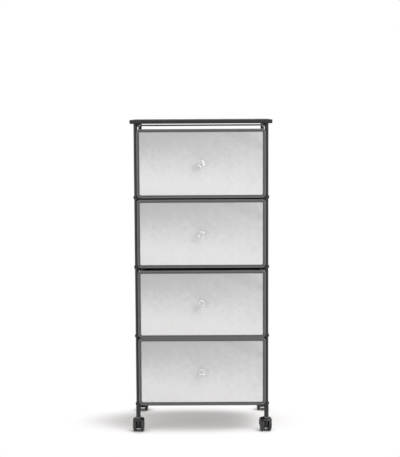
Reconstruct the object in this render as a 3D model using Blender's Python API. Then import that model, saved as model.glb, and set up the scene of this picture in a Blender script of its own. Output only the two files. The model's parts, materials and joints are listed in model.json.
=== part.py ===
"""Rolling cart: a black tube frame on twin-wheel casters, holding four fabric drawers."""
import math

import bmesh
import bpy
from mathutils import Matrix, Vector

# Fits, in metres like every length here
SEAT_GAP = 0.0003
CUT_PAST = 0.001
WHEEL_SIDE_GAP = 0.001
HOOD_GAP = 0.0015

# Top board
TOP_WIDTH = 0.445
TOP_DEPTH = 0.300
TOP_THICKNESS = 0.012
TOP_CORNER_RADIUS = 0.006
TOP_EDGE_ROUND = 0.0012

# Tube frame
TOP_OVERHANG_X = 0.0115
TOP_OVERHANG_Y = 0.014
POST_DIAMETER = 0.012
RAIL_DIAMETER = 0.010
BAR_DEPTH = 0.010
BAR_HEIGHT = 0.014
REAR_ROD_DIAMETER = 0.005
REAR_ROD_DROP = 0.006
TOP_RAIL_DROP = 0.001
TUBE_WALL = 0.001
BAR_RISE = 0.002
RAIL_ABOVE_BAR = 0.002

# Drawer fronts, in the order top to bottom
DRAWER_COUNT = 4
FRONT_HEIGHT = 0.216
FRONT_GAP = 0.0045
FRONT_LAP_ON_POST = 0.0035
FRONT_BOARD_THICKNESS = 0.004
FRONT_TO_POST_GAP = 0.0005
LOW_SEWN_FRONT = 3
LOW_SEWN_GAP = 0.0005
TOP_GAP = 0.0165
LOWEST_FRONT_RISE = 0.0055

# Binding tape round each front
BINDING_TAPE = 0.0012
BINDING_LIP = 0.0075
FRONT_TOP_INNER_RADIUS = 0.0015
FRONT_BOTTOM_INNER_RADIUS = 0.005

# Fabric bins
BIN_WALL = 0.0025
BIN_CORNER_RADIUS = 0.012
BIN_SIDE_CLEARANCE = 0.0025
BIN_REAR_INSET = 0.002
BIN_RIM_DROP = 0.001
HEM_HEIGHT = 0.016
HEM_THICKNESS = 0.0015
BASE_BOARD_THICKNESS = 0.003
BASE_BOARD_MARGIN = 0.0015

# Knobs
KNOB_DIAMETER = 0.024
KNOB_LENGTH = 0.020
KNOB_HEAD_LENGTH = 0.0145
KNOB_FOOT_DIAMETER = 0.013
KNOB_FOOT_THICKNESS = 0.0018
KNOB_NECK_DIAMETER = 0.009
KNOB_STUD_DIAMETER = 0.004
KNOB_STUD_END = 0.004

# Leg sleeves and caster stems
SLEEVE_LENGTH = 0.0365
SLEEVE_WALL = 0.0012
SLEEVE_SOCKET_DEPTH = 0.016
STEM_DIAMETER = 0.008
STEM_FLANGE_DIAMETER = 0.0135
STEM_FLANGE_THICKNESS = 0.0015
STEM_DEPTH_IN_HOUSING = 0.014

# Twin-wheel casters
WHEEL_DIAMETER = 0.042
WHEEL_WIDTH = 0.011
WHEEL_SPACING = 0.015
WHEEL_EDGE_ROUND = 0.003
WHEEL_INNER_EDGE = 0.00075
WHEEL_DOME = 0.002
WHEEL_HUB_DIAMETER = 0.013
AXLE_DIAMETER = 0.004
AXLE_DEPTH_IN_WHEEL = 0.006
CASTER_TRAIL = 0.012
HOOD_THICKNESS = 0.0025
HOOD_CROWN = 0.0035
HOOD_START_ANGLE = math.radians(-15)
HOOD_END_ANGLE = math.radians(142)
HOUSING_RISE = 0.001
NOSE_DEPTH = 0.019
WEB_BACK_ANGLE = math.radians(15)
WEB_DISC_DIAMETER = 0.024
DISC_START_ANGLE = math.radians(-20)
DISC_END_ANGLE = math.radians(-160)

# Each corner of the cart: name, side along X, side along Y, angle that its caster has swivelled to
CORNERS = (
    ("front_left", -1, -1, 0.0),
    ("front_right", 1, -1, math.radians(9)),
    ("rear_left", -1, 1, 0.0),
    ("rear_right", 1, 1, 0.0),
)

# Facets round each kind of turned piece
POST_SIDES = 16
BAR_SIDES = 12
ROD_SIDES = 8
PIN_SIDES = 12
SLEEVE_SIDES = 20
KNOB_SIDES = 16
WHEEL_SIDES = 20
HOOD_STEPS = 10
WEB_STEPS = 3
DISC_STEPS = 6
WHEEL_EDGE_STEPS = 2
KNOB_CROWN_STEPS = 3
CORNER_STEPS = 4
SMOOTH_ANGLE = math.radians(35)

# Plan of the frame
post_radius = POST_DIAMETER / 2
rail_radius = RAIL_DIAMETER / 2
bar_half_depth = BAR_DEPTH / 2
bar_half_height = BAR_HEIGHT / 2
rod_radius = REAR_ROD_DIAMETER / 2
post_x = TOP_WIDTH / 2 - TOP_OVERHANG_X - post_radius
post_y = TOP_DEPTH / 2 - TOP_OVERHANG_Y - post_radius

# Caster heights from the floor up
wheel_radius = WHEEL_DIAMETER / 2
hood_inner_radius = wheel_radius + HOOD_GAP
hood_outer_radius = hood_inner_radius + HOOD_THICKNESS
housing_top = wheel_radius + hood_outer_radius + HOUSING_RISE
web_half = WHEEL_SPACING / 2 - WHEEL_SIDE_GAP
wheel_inner_x = WHEEL_SPACING / 2
wheel_outer_x = wheel_inner_x + WHEEL_WIDTH
flange_bottom = housing_top + SEAT_GAP
flange_top = flange_bottom + STEM_FLANGE_THICKNESS
sleeve_bottom = flange_top + SEAT_GAP
sleeve_top = sleeve_bottom + SLEEVE_LENGTH
socket_floor = sleeve_top - SLEEVE_SOCKET_DEPTH
sleeve_bore_radius = post_radius + SEAT_GAP
sleeve_outer_radius = sleeve_bore_radius + SLEEVE_WALL
stem_radius = STEM_DIAMETER / 2

# Heights of the drawers and the top
lowest_front = sleeve_top + LOWEST_FRONT_RISE
tier_pitch = FRONT_HEIGHT + FRONT_GAP
board_underside = lowest_front + DRAWER_COUNT * tier_pitch - FRONT_GAP + TOP_GAP
post_bottom = socket_floor + SEAT_GAP
post_top = board_underside - SEAT_GAP

# Depths of a drawer, from the front of the binding to the back of the bin
front_back_y = -post_y - post_radius - FRONT_TO_POST_GAP - BINDING_TAPE - SEAT_GAP
front_face_y = front_back_y - FRONT_BOARD_THICKNESS
front_half_width = post_x - post_radius + FRONT_LAP_ON_POST
bin_front_y = front_back_y + SEAT_GAP
bin_back_y = post_y - BIN_REAR_INSET
bin_half_width = post_x - post_radius - BIN_SIDE_CLEARANCE
low_sewn_drop = FRONT_GAP - LOW_SEWN_GAP
bin_floor_rise = BAR_RISE + bar_half_height + SEAT_GAP
bin_rim_rise = FRONT_HEIGHT - BINDING_TAPE - SEAT_GAP - BINDING_LIP - low_sewn_drop - BIN_RIM_DROP
knob_front_y = front_face_y - SEAT_GAP - KNOB_LENGTH

# The origin lies on the floor under the middle of the whole cart
reach_front = -knob_front_y
reach_rear = post_y + CASTER_TRAIL + hood_outer_radius
origin_y = (reach_rear - reach_front) / 2


def tier_bottom(drawer):
    """Height of the lower edge of a drawer's place in the frame; drawer 1 is the top one."""
    return lowest_front + (DRAWER_COUNT - drawer) * tier_pitch


def front_drop(drawer):
    """How far a drawer's front is sewn below its place."""
    return low_sewn_drop if drawer == LOW_SEWN_FRONT else 0.0


def clear_scene():
    """Remove everything that the scene starts with."""
    for item in list(bpy.data.objects):
        bpy.data.objects.remove(item)


def make_material(name, colour, roughness, metallic=0.0):
    """Principled material of one finish."""
    material = bpy.data.materials.new(name)
    material.use_nodes = True
    shader = material.node_tree.nodes["Principled BSDF"]
    shader.inputs["Base Color"].default_value = (*colour, 1.0)
    shader.inputs["Roughness"].default_value = roughness
    shader.inputs["Metallic"].default_value = metallic
    material.diffuse_color = (*colour, 1.0)
    return material


def link(name, mesh):
    """New object in the scene; without a mesh it is an empty."""
    item = bpy.data.objects.new(name, mesh)
    bpy.context.scene.collection.objects.link(item)
    return item


def place(name, mesh, material, parent, location=(0.0, 0.0, 0.0)):
    """Put a mesh in the scene as a named piece under its parent."""
    if not mesh.materials:
        mesh.materials.append(material)
    piece = link(name, mesh)
    piece.parent = parent
    piece.location = location


def place_empty(name, parent, location, turn=0.0):
    """Empty that carries a group of pieces."""
    empty = link(name, None)
    empty.parent = parent
    empty.location = location
    empty.rotation_euler = (0.0, 0.0, turn)
    return empty


def finished(name, bm):
    """Turn a closed bmesh into a mesh with outward faces and smooth round sides."""
    bmesh.ops.recalc_face_normals(bm, faces=bm.faces)
    mesh = bpy.data.meshes.new(name)
    bm.to_mesh(mesh)
    bm.free()
    smooth(mesh)
    return mesh


def smooth(mesh):
    """Shade the round sides smooth and keep the hard edges."""
    mesh.shade_smooth()
    mesh.set_sharp_from_angle(angle=SMOOTH_ANGLE)


def bridge(bm, first, second):
    """Join two rings of vertices with faces; a ring of one vertex makes a cone."""
    count = max(len(first), len(second))
    for step in range(count):
        following = (step + 1) % count
        corners = (
            first[step % len(first)],
            first[following % len(first)],
            second[following % len(second)],
            second[step % len(second)],
        )
        bm.faces.new(list(dict.fromkeys(corners)))


def turned(name, profile, sides, closed=False, flat_sides=False):
    """Body turned about Z from (radius, height) points; flat sides lie at the stated radius."""
    bm = bmesh.new()
    phase = math.pi / sides if flat_sides else 0.0
    grow = 1.0 / math.cos(phase)
    rings = []
    for radius, height in profile:
        count = sides if radius > 0.0 else 1
        ring = []
        for step in range(count):
            angle = phase + math.tau * step / sides
            spot = (radius * grow * math.cos(angle), radius * grow * math.sin(angle), height)
            ring.append(bm.verts.new(spot))
        rings.append(ring)
    for first, second in zip(rings, rings[1:]):
        bridge(bm, first, second)
    if closed:
        bridge(bm, rings[-1], rings[0])
    return finished(name, bm)


def lofted(name, loops, closed=False):
    """Skin through loops of points, closed on itself or with a flat cap at each end."""
    bm = bmesh.new()
    rings = []
    for loop in loops:
        rings.append([bm.verts.new(point) for point in loop])
    for first, second in zip(rings, rings[1:]):
        bridge(bm, first, second)
    if closed:
        bridge(bm, rings[-1], rings[0])
    else:
        bm.faces.new(rings[0])
        bm.faces.new(rings[-1])
    return finished(name, bm)


def round_bar(name, radius, start, end, sides):
    """Solid round bar between two points."""
    run = Vector(end) - Vector(start)
    mesh = turned(name, [(0, 0), (radius, 0), (radius, run.length), (0, run.length)], sides)
    turn = Vector((0, 0, 1)).rotation_difference(run).to_matrix().to_4x4()
    mesh.transform(Matrix.Translation(start) @ turn)
    return mesh


def gathered(name, meshes):
    """Several meshes as one."""
    bm = bmesh.new()
    for mesh in meshes:
        bm.from_mesh(mesh)
    return finished(name, bm)


def combined(base, steps):
    """Mesh of a base body after each Boolean step with another mesh."""
    body = link(base.name, base)
    helpers = [body]
    for operation, mesh in steps:
        tool = link(mesh.name, mesh)
        tool.hide_render = True
        tool.display_type = "WIRE"
        modifier = body.modifiers.new(operation, "BOOLEAN")
        modifier.operation = operation
        modifier.solver = "EXACT"
        modifier.object = tool
        helpers.append(tool)
    evaluated = body.evaluated_get(bpy.context.evaluated_depsgraph_get())
    result = bpy.data.meshes.new_from_object(evaluated)
    result.name = base.name
    for helper in helpers:
        bpy.data.objects.remove(helper)
    smooth(result)
    return result


def spread(first, last, steps):
    """Even steps from a first to a last value."""
    return [first + (last - first) * step / steps for step in range(steps + 1)]


def corner_arcs(half_width, half_height, radii, steps):
    """Stations round a rounded rectangle: arc centre, radius and outward direction, anticlockwise.

    radii holds the lower right, upper right, upper left and lower left corner.
    """
    stations = []
    signs = ((1, -1), (1, 1), (-1, 1), (-1, -1))
    for quarter, ((side_x, side_y), radius) in enumerate(zip(signs, radii)):
        centre = Vector((side_x * (half_width - radius), side_y * (half_height - radius)))
        start = math.radians(90) * (quarter - 1)
        for angle in spread(start, start + math.radians(90), steps):
            stations.append((centre, radius, Vector((math.cos(angle), math.sin(angle)))))
    return stations


def offset_loop(stations, offset):
    """Points of the rounded rectangle, moved outward by an offset."""
    return [centre + (radius + offset) * direction for centre, radius, direction in stations]


def make_top_board(materials, cart):
    """Plain board with small round corners and eased edges."""
    radii = [TOP_CORNER_RADIUS] * 4
    stations = corner_arcs(TOP_WIDTH / 2, TOP_DEPTH / 2, radii, CORNER_STEPS)
    levels = (
        (-TOP_EDGE_ROUND, 0.0),
        (0.0, TOP_EDGE_ROUND),
        (0.0, TOP_THICKNESS - TOP_EDGE_ROUND),
        (-TOP_EDGE_ROUND, TOP_THICKNESS),
    )
    loops = []
    for offset, height in levels:
        loops.append([(*point, height) for point in offset_loop(stations, offset)])
    mesh = lofted("top_board", loops)
    place("top_board", mesh, materials["board"], cart, (0.0, 0.0, board_underside))


def rail_heights():
    """Heights of a side frame's rails: one beside each drawer's bar, and one under the top."""
    heights = [post_top - rail_radius - TOP_RAIL_DROP]
    for drawer in range(1, DRAWER_COUNT + 1):
        bar_top = tier_bottom(drawer) + BAR_RISE + bar_half_height
        heights.append(bar_top + RAIL_ABOVE_BAR + rail_radius)
    return heights


def side_frame_mesh():
    """Welded ladder: two posts and the rails between them, bored through as tubes."""
    posts = []
    post_bores = []
    for side in (-1, 1):
        foot = (0.0, side * post_y, post_bottom)
        head = (0.0, side * post_y, post_top)
        posts.append(round_bar("post", post_radius, foot, head, POST_SIDES))
        below = (0.0, side * post_y, post_bottom - CUT_PAST)
        above = (0.0, side * post_y, post_top + CUT_PAST)
        post_bores.append(round_bar("post_bore", post_radius - TUBE_WALL, below, above, POST_SIDES))
    rails = []
    rail_bores = []
    for height in rail_heights():
        start = (0.0, -post_y, height)
        end = (0.0, post_y, height)
        rails.append(round_bar("rail", rail_radius, start, end, BAR_SIDES))
        rail_bores.append(round_bar("rail_bore", rail_radius - TUBE_WALL, start, end, BAR_SIDES))
    steps = (
        ("UNION", gathered("rails", rails)),
        ("DIFFERENCE", gathered("rail_bores", rail_bores)),
        ("DIFFERENCE", gathered("post_bores", post_bores)),
    )
    return combined(gathered("side_frame", posts), steps)


def coped_tube(name, half_depth, half_height, sides):
    """Round or oval tube along X between a left and a right post, its ends cut to the posts' curve."""
    def ring(inset, side):
        points = []
        for step in range(sides):
            angle = math.tau * step / sides
            y = (half_depth - inset) * math.cos(angle)
            reach = post_x - math.sqrt((post_radius + SEAT_GAP) ** 2 - y * y)
            points.append((side * reach, y, (half_height - inset) * math.sin(angle)))
        return points

    loops = [ring(0.0, -1), ring(0.0, 1), ring(TUBE_WALL, 1), ring(TUBE_WALL, -1)]
    return lofted(name, loops, closed=True)


def make_frame(materials, cart):
    """Side frames, the bars that carry the drawers, and the thin rod behind the top gap."""
    steel = materials["steel_paint"]
    ladder = side_frame_mesh()
    place("side_frame_left", ladder, steel, cart, (-post_x, 0.0, 0.0))
    place("side_frame_right", ladder, steel, cart, (post_x, 0.0, 0.0))
    bar = coped_tube("bar", bar_half_depth, bar_half_height, BAR_SIDES)
    for drawer in range(1, DRAWER_COUNT + 1):
        height = tier_bottom(drawer) + BAR_RISE
        place(f"front_bar_{drawer}", bar, steel, cart, (0.0, -post_y, height))
        place(f"rear_bar_{drawer}", bar, steel, cart, (0.0, post_y, height))
    rod = coped_tube("rear_top_rod", rod_radius, rod_radius, ROD_SIDES)
    height = board_underside - REAR_ROD_DROP - rod_radius
    place("rear_top_rod", rod, steel, cart, (0.0, post_y, height))


def bored_loft(name, loops, hole_y_low, hole_y_high, hole_z):
    """Loft with the knob's hole cut through it along Y."""
    radius = KNOB_STUD_DIAMETER / 2 + SEAT_GAP
    start = (0.0, hole_y_low, hole_z)
    end = (0.0, hole_y_high, hole_z)
    hole = round_bar("knob_hole", radius, start, end, PIN_SIDES)
    return combined(lofted(name, loops), [("DIFFERENCE", hole)])


def front_stations():
    """Edge of the stiff front board, just inside its binding."""
    edge = BINDING_TAPE + SEAT_GAP
    bottom = FRONT_BOTTOM_INNER_RADIUS + BINDING_LIP
    top = FRONT_TOP_INNER_RADIUS + BINDING_LIP
    radii = (bottom, top, top, bottom)
    return corner_arcs(front_half_width - edge, FRONT_HEIGHT / 2 - edge, radii, CORNER_STEPS)


def front_board_mesh(hole_z):
    """Stiff board behind the front's cloth, in its own frame at the middle of its height."""
    outline = offset_loop(front_stations(), 0.0)
    loops = []
    for depth in (front_face_y, front_back_y):
        loops.append([(point.x, depth, point.y) for point in outline])
    return bored_loft("drawer_front", loops, front_face_y - CUT_PAST, front_back_y + CUT_PAST, hole_z)


def binding_mesh():
    """Folded tape round the board's edge: a channel section swept round the outline."""
    stations = front_stations()
    inner_front = front_face_y - SEAT_GAP
    inner_back = front_back_y + SEAT_GAP
    outer_front = inner_front - BINDING_TAPE
    outer_back = inner_back + BINDING_TAPE
    edge = SEAT_GAP + BINDING_TAPE
    section = (
        (-BINDING_LIP, outer_front),
        (SEAT_GAP, outer_front),
        (edge, inner_front),
        (edge, inner_back),
        (SEAT_GAP, outer_back),
        (-BINDING_LIP, outer_back),
        (-BINDING_LIP, inner_back),
        (SEAT_GAP, inner_back),
        (SEAT_GAP, inner_front),
        (-BINDING_LIP, inner_front),
    )
    loops = []
    for offset, depth in section:
        loops.append([(point.x, depth, point.y) for point in offset_loop(stations, offset)])
    return lofted("drawer_binding", loops, closed=True)


def bin_stations():
    """Plan of a bin's outer wall, about its own middle."""
    half_depth = (bin_back_y - bin_front_y) / 2
    return corner_arcs(bin_half_width, half_depth, [BIN_CORNER_RADIUS] * 4, CORNER_STEPS)


def bin_loop(inset, height):
    """Level loop inside the bin's outer wall."""
    middle = (bin_back_y + bin_front_y) / 2
    return [(point.x, point.y + middle, height) for point in offset_loop(bin_stations(), -inset)]


def bin_loops():
    """Open-topped fabric bin with a thicker hem inside its rim, measured from the tier's edge."""
    inner_floor = bin_floor_rise + BIN_WALL
    hem_bottom = bin_rim_rise - HEM_HEIGHT
    hem_inset = BIN_WALL + HEM_THICKNESS
    return [
        bin_loop(0.0, bin_floor_rise),
        bin_loop(0.0, bin_rim_rise),
        bin_loop(hem_inset, bin_rim_rise),
        bin_loop(hem_inset, hem_bottom),
        bin_loop(BIN_WALL, hem_bottom - HEM_THICKNESS),
        bin_loop(BIN_WALL, inner_floor),
    ]


def base_board_mesh():
    """Loose stiffening board on the bin's floor."""
    inset = BIN_WALL + BASE_BOARD_MARGIN
    low = bin_floor_rise + BIN_WALL + SEAT_GAP
    loops = [bin_loop(inset, low), bin_loop(inset, low + BASE_BOARD_THICKNESS)]
    return lofted("drawer_base", loops)


def knob_mesh():
    """Flattened ball on a foot with a stud, turned about its own axis, which points forward."""
    head = KNOB_DIAMETER / 2
    foot = KNOB_FOOT_DIAMETER / 2
    neck = KNOB_NECK_DIAMETER / 2
    stud = KNOB_STUD_DIAMETER / 2
    stud_length = SEAT_GAP + FRONT_BOARD_THICKNESS + SEAT_GAP + BIN_WALL + KNOB_STUD_END
    profile = [
        (0.0, -stud_length),
        (stud, -stud_length),
        (stud, 0.0),
        (foot, 0.0),
        (foot, KNOB_FOOT_THICKNESS),
        (neck, KNOB_FOOT_THICKNESS + foot - neck),
    ]
    half_head = KNOB_HEAD_LENGTH / 2
    neck_angle = -math.acos(neck / head)
    crown_angles = spread(0.0, math.radians(90), KNOB_CROWN_STEPS)
    for angle in [neck_angle, neck_angle / 2] + crown_angles[:-1]:
        height = KNOB_LENGTH - half_head + half_head * math.sin(angle)
        profile.append((head * math.cos(angle), height))
    profile.append((0.0, KNOB_LENGTH))
    mesh = turned("drawer_knob", profile, KNOB_SIDES)
    mesh.transform(Matrix.Rotation(math.radians(90), 4, "X"))
    return mesh


def make_drawers(materials, cart):
    """Four drawers: bin, base board, stiff front, its binding and a knob."""
    base = base_board_mesh()
    binding = binding_mesh()
    knob = knob_mesh()
    hole_start = bin_front_y - CUT_PAST
    hole_end = bin_front_y + BIN_WALL + CUT_PAST
    knob_z = FRONT_HEIGHT / 2
    fabric = bored_loft("drawer_bin", bin_loops(), hole_start, hole_end, knob_z)
    for drawer in range(1, DRAWER_COUNT + 1):
        carrier = place_empty(f"drawer_{drawer}", cart, (0.0, 0.0, tier_bottom(drawer)))
        drop = front_drop(drawer)
        middle = (0.0, 0.0, FRONT_HEIGHT / 2 - drop)
        front = front_board_mesh(drop)
        place(f"drawer_bin_{drawer}", fabric, materials["bin_fabric"], carrier)
        place(f"drawer_base_{drawer}", base, materials["base_board"], carrier)
        place(f"drawer_front_{drawer}", front, materials["front_cloth"], carrier, middle)
        place(f"drawer_binding_{drawer}", binding, materials["binding"], carrier, middle)
        spot = (0.0, front_face_y - SEAT_GAP, knob_z)
        place(f"drawer_knob_{drawer}", knob, materials["knob"], carrier, spot)


def sleeve_mesh():
    """Leg sleeve: a socket for the post's foot above a bore for the caster's stem."""
    bore = stem_radius + SEAT_GAP
    profile = [
        (bore, sleeve_bottom),
        (sleeve_outer_radius, sleeve_bottom),
        (sleeve_outer_radius, sleeve_top),
        (sleeve_bore_radius, sleeve_top),
        (sleeve_bore_radius, socket_floor),
        (bore, socket_floor),
    ]
    return turned("leg_sleeve", profile, SLEEVE_SIDES, closed=True)


def stem_mesh():
    """Caster stem: a pin in the housing, a flange, and a pin up in the leg sleeve."""
    flange = STEM_FLANGE_DIAMETER / 2
    profile = [
        (0.0, housing_top - STEM_DEPTH_IN_HOUSING + SEAT_GAP),
        (stem_radius, housing_top - STEM_DEPTH_IN_HOUSING + SEAT_GAP),
        (stem_radius, flange_bottom),
        (flange, flange_bottom),
        (flange, flange_top),
        (stem_radius, flange_top),
        (stem_radius, socket_floor - SEAT_GAP),
        (0.0, socket_floor - SEAT_GAP),
    ]
    return turned("caster_stem", profile, PIN_SIDES)


def around_axle(radius, angle):
    """Point of the caster's side view, at an angle up from the trailing side of the axle."""
    return (CASTER_TRAIL + radius * math.cos(angle), wheel_radius + radius * math.sin(angle))


def hood_mesh():
    """Crowned mudguard over both wheels: one section swept round the axle."""
    half = wheel_outer_x - WHEEL_SIDE_GAP
    edge = hood_outer_radius - HOOD_CROWN
    section = (
        (-half, edge),
        (-half + HOOD_CROWN, hood_outer_radius - HOOD_CROWN / 3),
        (-web_half, hood_outer_radius),
        (web_half, hood_outer_radius),
        (half - HOOD_CROWN, hood_outer_radius - HOOD_CROWN / 3),
        (half, edge),
        (half - HOOD_CROWN, hood_inner_radius),
        (-half + HOOD_CROWN, hood_inner_radius),
    )
    loops = []
    for angle in spread(HOOD_START_ANGLE, HOOD_END_ANGLE, HOOD_STEPS):
        loops.append([(x, *around_axle(radius, angle)) for x, radius in section])
    return lofted("caster_hood", loops)


def web_mesh():
    """Middle web: a disc between the wheels that joins the hood and carries the stem in a round nose."""
    buried = hood_outer_radius - HOOD_THICKNESS / 2
    disc = WEB_DISC_DIAMETER / 2
    front = -web_half - WHEEL_SIDE_GAP
    outline = [(front, housing_top - NOSE_DEPTH), (front, housing_top), (web_half, housing_top)]
    for angle in spread(math.radians(90), WEB_BACK_ANGLE, WEB_STEPS):
        outline.append(around_axle(buried, angle))
    for angle in spread(DISC_START_ANGLE, DISC_END_ANGLE, DISC_STEPS):
        outline.append(around_axle(disc, angle))
    sides = []
    for x in (-wheel_inner_x, wheel_inner_x):
        sides.append([(x, y, z) for y, z in outline])
    plan = []
    for angle in spread(math.pi, math.tau, POST_SIDES // 2):
        plan.append((web_half * math.cos(angle), web_half * math.sin(angle)))
    back = CASTER_TRAIL + hood_outer_radius
    plan.extend([(web_half, back), (-web_half, back)])
    levels = []
    for z in (0.0, housing_top + NOSE_DEPTH):
        levels.append([(x, y, z) for x, y in plan])
    return combined(lofted("web", sides), [("INTERSECT", lofted("nose_plan", levels))])


def housing_mesh():
    """Caster housing: hood and web in one moulding, bored for the stem and the axle."""
    axle_bore = AXLE_DIAMETER / 2 + SEAT_GAP
    axle_start = (-wheel_inner_x, *around_axle(0.0, 0.0))
    axle_end = (wheel_inner_x, *around_axle(0.0, 0.0))
    stem_start = (0.0, 0.0, housing_top - STEM_DEPTH_IN_HOUSING)
    stem_end = (0.0, 0.0, housing_top + STEM_DEPTH_IN_HOUSING)
    steps = (
        ("UNION", web_mesh()),
        ("DIFFERENCE", round_bar("axle_bore", axle_bore, axle_start, axle_end, PIN_SIDES)),
        ("DIFFERENCE", round_bar("stem_bore", stem_radius + SEAT_GAP, stem_start, stem_end, PIN_SIDES)),
    )
    return combined(hood_mesh(), steps)


def axle_mesh():
    """Axle pin along X, pressed into both wheels."""
    reach = wheel_inner_x + AXLE_DEPTH_IN_WHEEL
    return round_bar("caster_axle", AXLE_DIAMETER / 2, (-reach, 0.0, 0.0), (reach, 0.0, 0.0), PIN_SIDES)


def wheel_mesh(side):
    """Wheel with a domed outer face and a rounded edge, on one side of the web."""
    bore = AXLE_DIAMETER / 2 + SEAT_GAP
    bore_end = wheel_inner_x + AXLE_DEPTH_IN_WHEEL + SEAT_GAP
    hub = WHEEL_HUB_DIAMETER / 2
    rim = wheel_radius - WHEEL_EDGE_ROUND
    shoulder = wheel_outer_x - WHEEL_DOME - WHEEL_EDGE_ROUND
    profile = [
        (0.0, wheel_outer_x),
        (hub, wheel_outer_x),
        ((hub + rim) / 2, wheel_outer_x - WHEEL_DOME / 4),
    ]
    for angle in spread(math.radians(90), 0.0, WHEEL_EDGE_STEPS):
        across = WHEEL_EDGE_ROUND * math.cos(angle)
        outward = WHEEL_EDGE_ROUND * math.sin(angle)
        profile.append((rim + across, shoulder + outward))
    profile += [
        (wheel_radius, wheel_inner_x + WHEEL_INNER_EDGE),
        (wheel_radius - WHEEL_INNER_EDGE, wheel_inner_x),
        (bore, wheel_inner_x),
        (bore, bore_end),
        (0.0, bore_end),
    ]
    mesh = turned("caster_wheel", profile, WHEEL_SIDES, flat_sides=True)
    mesh.transform(Matrix.Rotation(math.radians(90 * side), 4, "Y"))
    return mesh


def make_casters(materials, cart):
    """Leg sleeve, stem and swivelling twin-wheel caster under each post."""
    sleeve = sleeve_mesh()
    stem = stem_mesh()
    housing = housing_mesh()
    axle = axle_mesh()
    wheels = {"left": wheel_mesh(-1), "right": wheel_mesh(1)}
    for corner, side_x, side_y, angle in CORNERS:
        foot = (side_x * post_x, side_y * post_y, 0.0)
        place(f"leg_sleeve_{corner}", sleeve, materials["sleeve"], cart, foot)
        place(f"caster_stem_{corner}", stem, materials["bright_steel"], cart, foot)
        swivel = place_empty(f"caster_swivel_{corner}", cart, foot, angle)
        place(f"caster_housing_{corner}", housing, materials["caster"], swivel)
        axle_spot = (0.0, *around_axle(0.0, 0.0))
        place(f"caster_axle_{corner}", axle, materials["bright_steel"], swivel, axle_spot)
        for side, wheel in wheels.items():
            place(f"caster_wheel_{side}_{corner}", wheel, materials["wheel"], swivel, axle_spot)


def make_materials():
    """Finishes of the cart's pieces."""
    return {
        "board": make_material("black_board", (0.036, 0.034, 0.034), 0.55),
        "steel_paint": make_material("black_steel_paint", (0.028, 0.028, 0.030), 0.42),
        "sleeve": make_material("black_sleeve", (0.030, 0.030, 0.031), 0.5),
        "bin_fabric": make_material("dark_bin_fabric", (0.085, 0.087, 0.090), 0.9),
        "front_cloth": make_material("pale_front_cloth", (0.62, 0.62, 0.62), 0.85),
        "binding": make_material("grey_binding", (0.135, 0.137, 0.138), 0.85),
        "base_board": make_material("base_board", (0.16, 0.15, 0.14), 0.8),
        "knob": make_material("clear_knob", (0.86, 0.87, 0.88), 0.08),
        "caster": make_material("black_caster", (0.024, 0.025, 0.024), 0.5),
        "wheel": make_material("black_wheel", (0.020, 0.021, 0.020), 0.6),
        "bright_steel": make_material("bright_steel", (0.52, 0.52, 0.53), 0.3, 1.0),
    }


def main():
    """Build the whole cart."""
    clear_scene()
    materials = make_materials()
    cart = place_empty("cart", None, (0.0, -origin_y, 0.0))
    make_top_board(materials, cart)
    make_frame(materials, cart)
    make_drawers(materials, cart)
    make_casters(materials, cart)


main()
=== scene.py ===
"""Looks of a rolling drawer cart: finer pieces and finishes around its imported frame.

Laid out as an add-on. Property groups hold the sizes and colours, each operator makes one group of like
pieces, and a panel in the 3D view's sidebar lists them. All lengths are metres, in the frame's own axes.
"""
import json
import math

import bmesh
import bpy
import numpy as np
from bpy.props import FloatProperty, FloatVectorProperty, PointerProperty
from mathutils import Matrix, Vector, noise


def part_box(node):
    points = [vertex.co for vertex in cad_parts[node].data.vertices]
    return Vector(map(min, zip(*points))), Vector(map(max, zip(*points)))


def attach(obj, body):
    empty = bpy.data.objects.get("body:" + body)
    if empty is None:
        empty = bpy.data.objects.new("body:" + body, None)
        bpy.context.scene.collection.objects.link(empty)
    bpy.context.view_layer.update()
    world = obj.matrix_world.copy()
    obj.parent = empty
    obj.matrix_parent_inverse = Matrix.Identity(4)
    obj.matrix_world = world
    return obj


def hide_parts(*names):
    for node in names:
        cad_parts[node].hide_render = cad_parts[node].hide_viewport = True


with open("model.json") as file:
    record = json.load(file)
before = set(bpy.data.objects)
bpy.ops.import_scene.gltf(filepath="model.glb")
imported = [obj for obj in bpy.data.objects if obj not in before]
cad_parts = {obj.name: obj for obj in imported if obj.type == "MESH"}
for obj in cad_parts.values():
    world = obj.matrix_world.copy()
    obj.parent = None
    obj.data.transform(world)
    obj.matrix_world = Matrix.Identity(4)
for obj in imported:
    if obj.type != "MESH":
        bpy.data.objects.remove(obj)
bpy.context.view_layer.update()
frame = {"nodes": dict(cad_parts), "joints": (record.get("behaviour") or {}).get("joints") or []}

bl_info = {
    "name": "Rolling Drawer Cart",
    "version": (1, 0, 0),
    "blender": (4, 5, 0),
    "location": "3D View > Sidebar > Cart",
    "description": "Makes the visible pieces and finishes of a rolling cart with fabric drawers",
    "category": "Object",
}

DRAWERS = (1, 2, 3, 4)
CORNERS = ("front_left", "front_right", "rear_left", "rear_right")
JOINTS = {joint["name"]: joint for joint in frame["joints"]}

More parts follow.
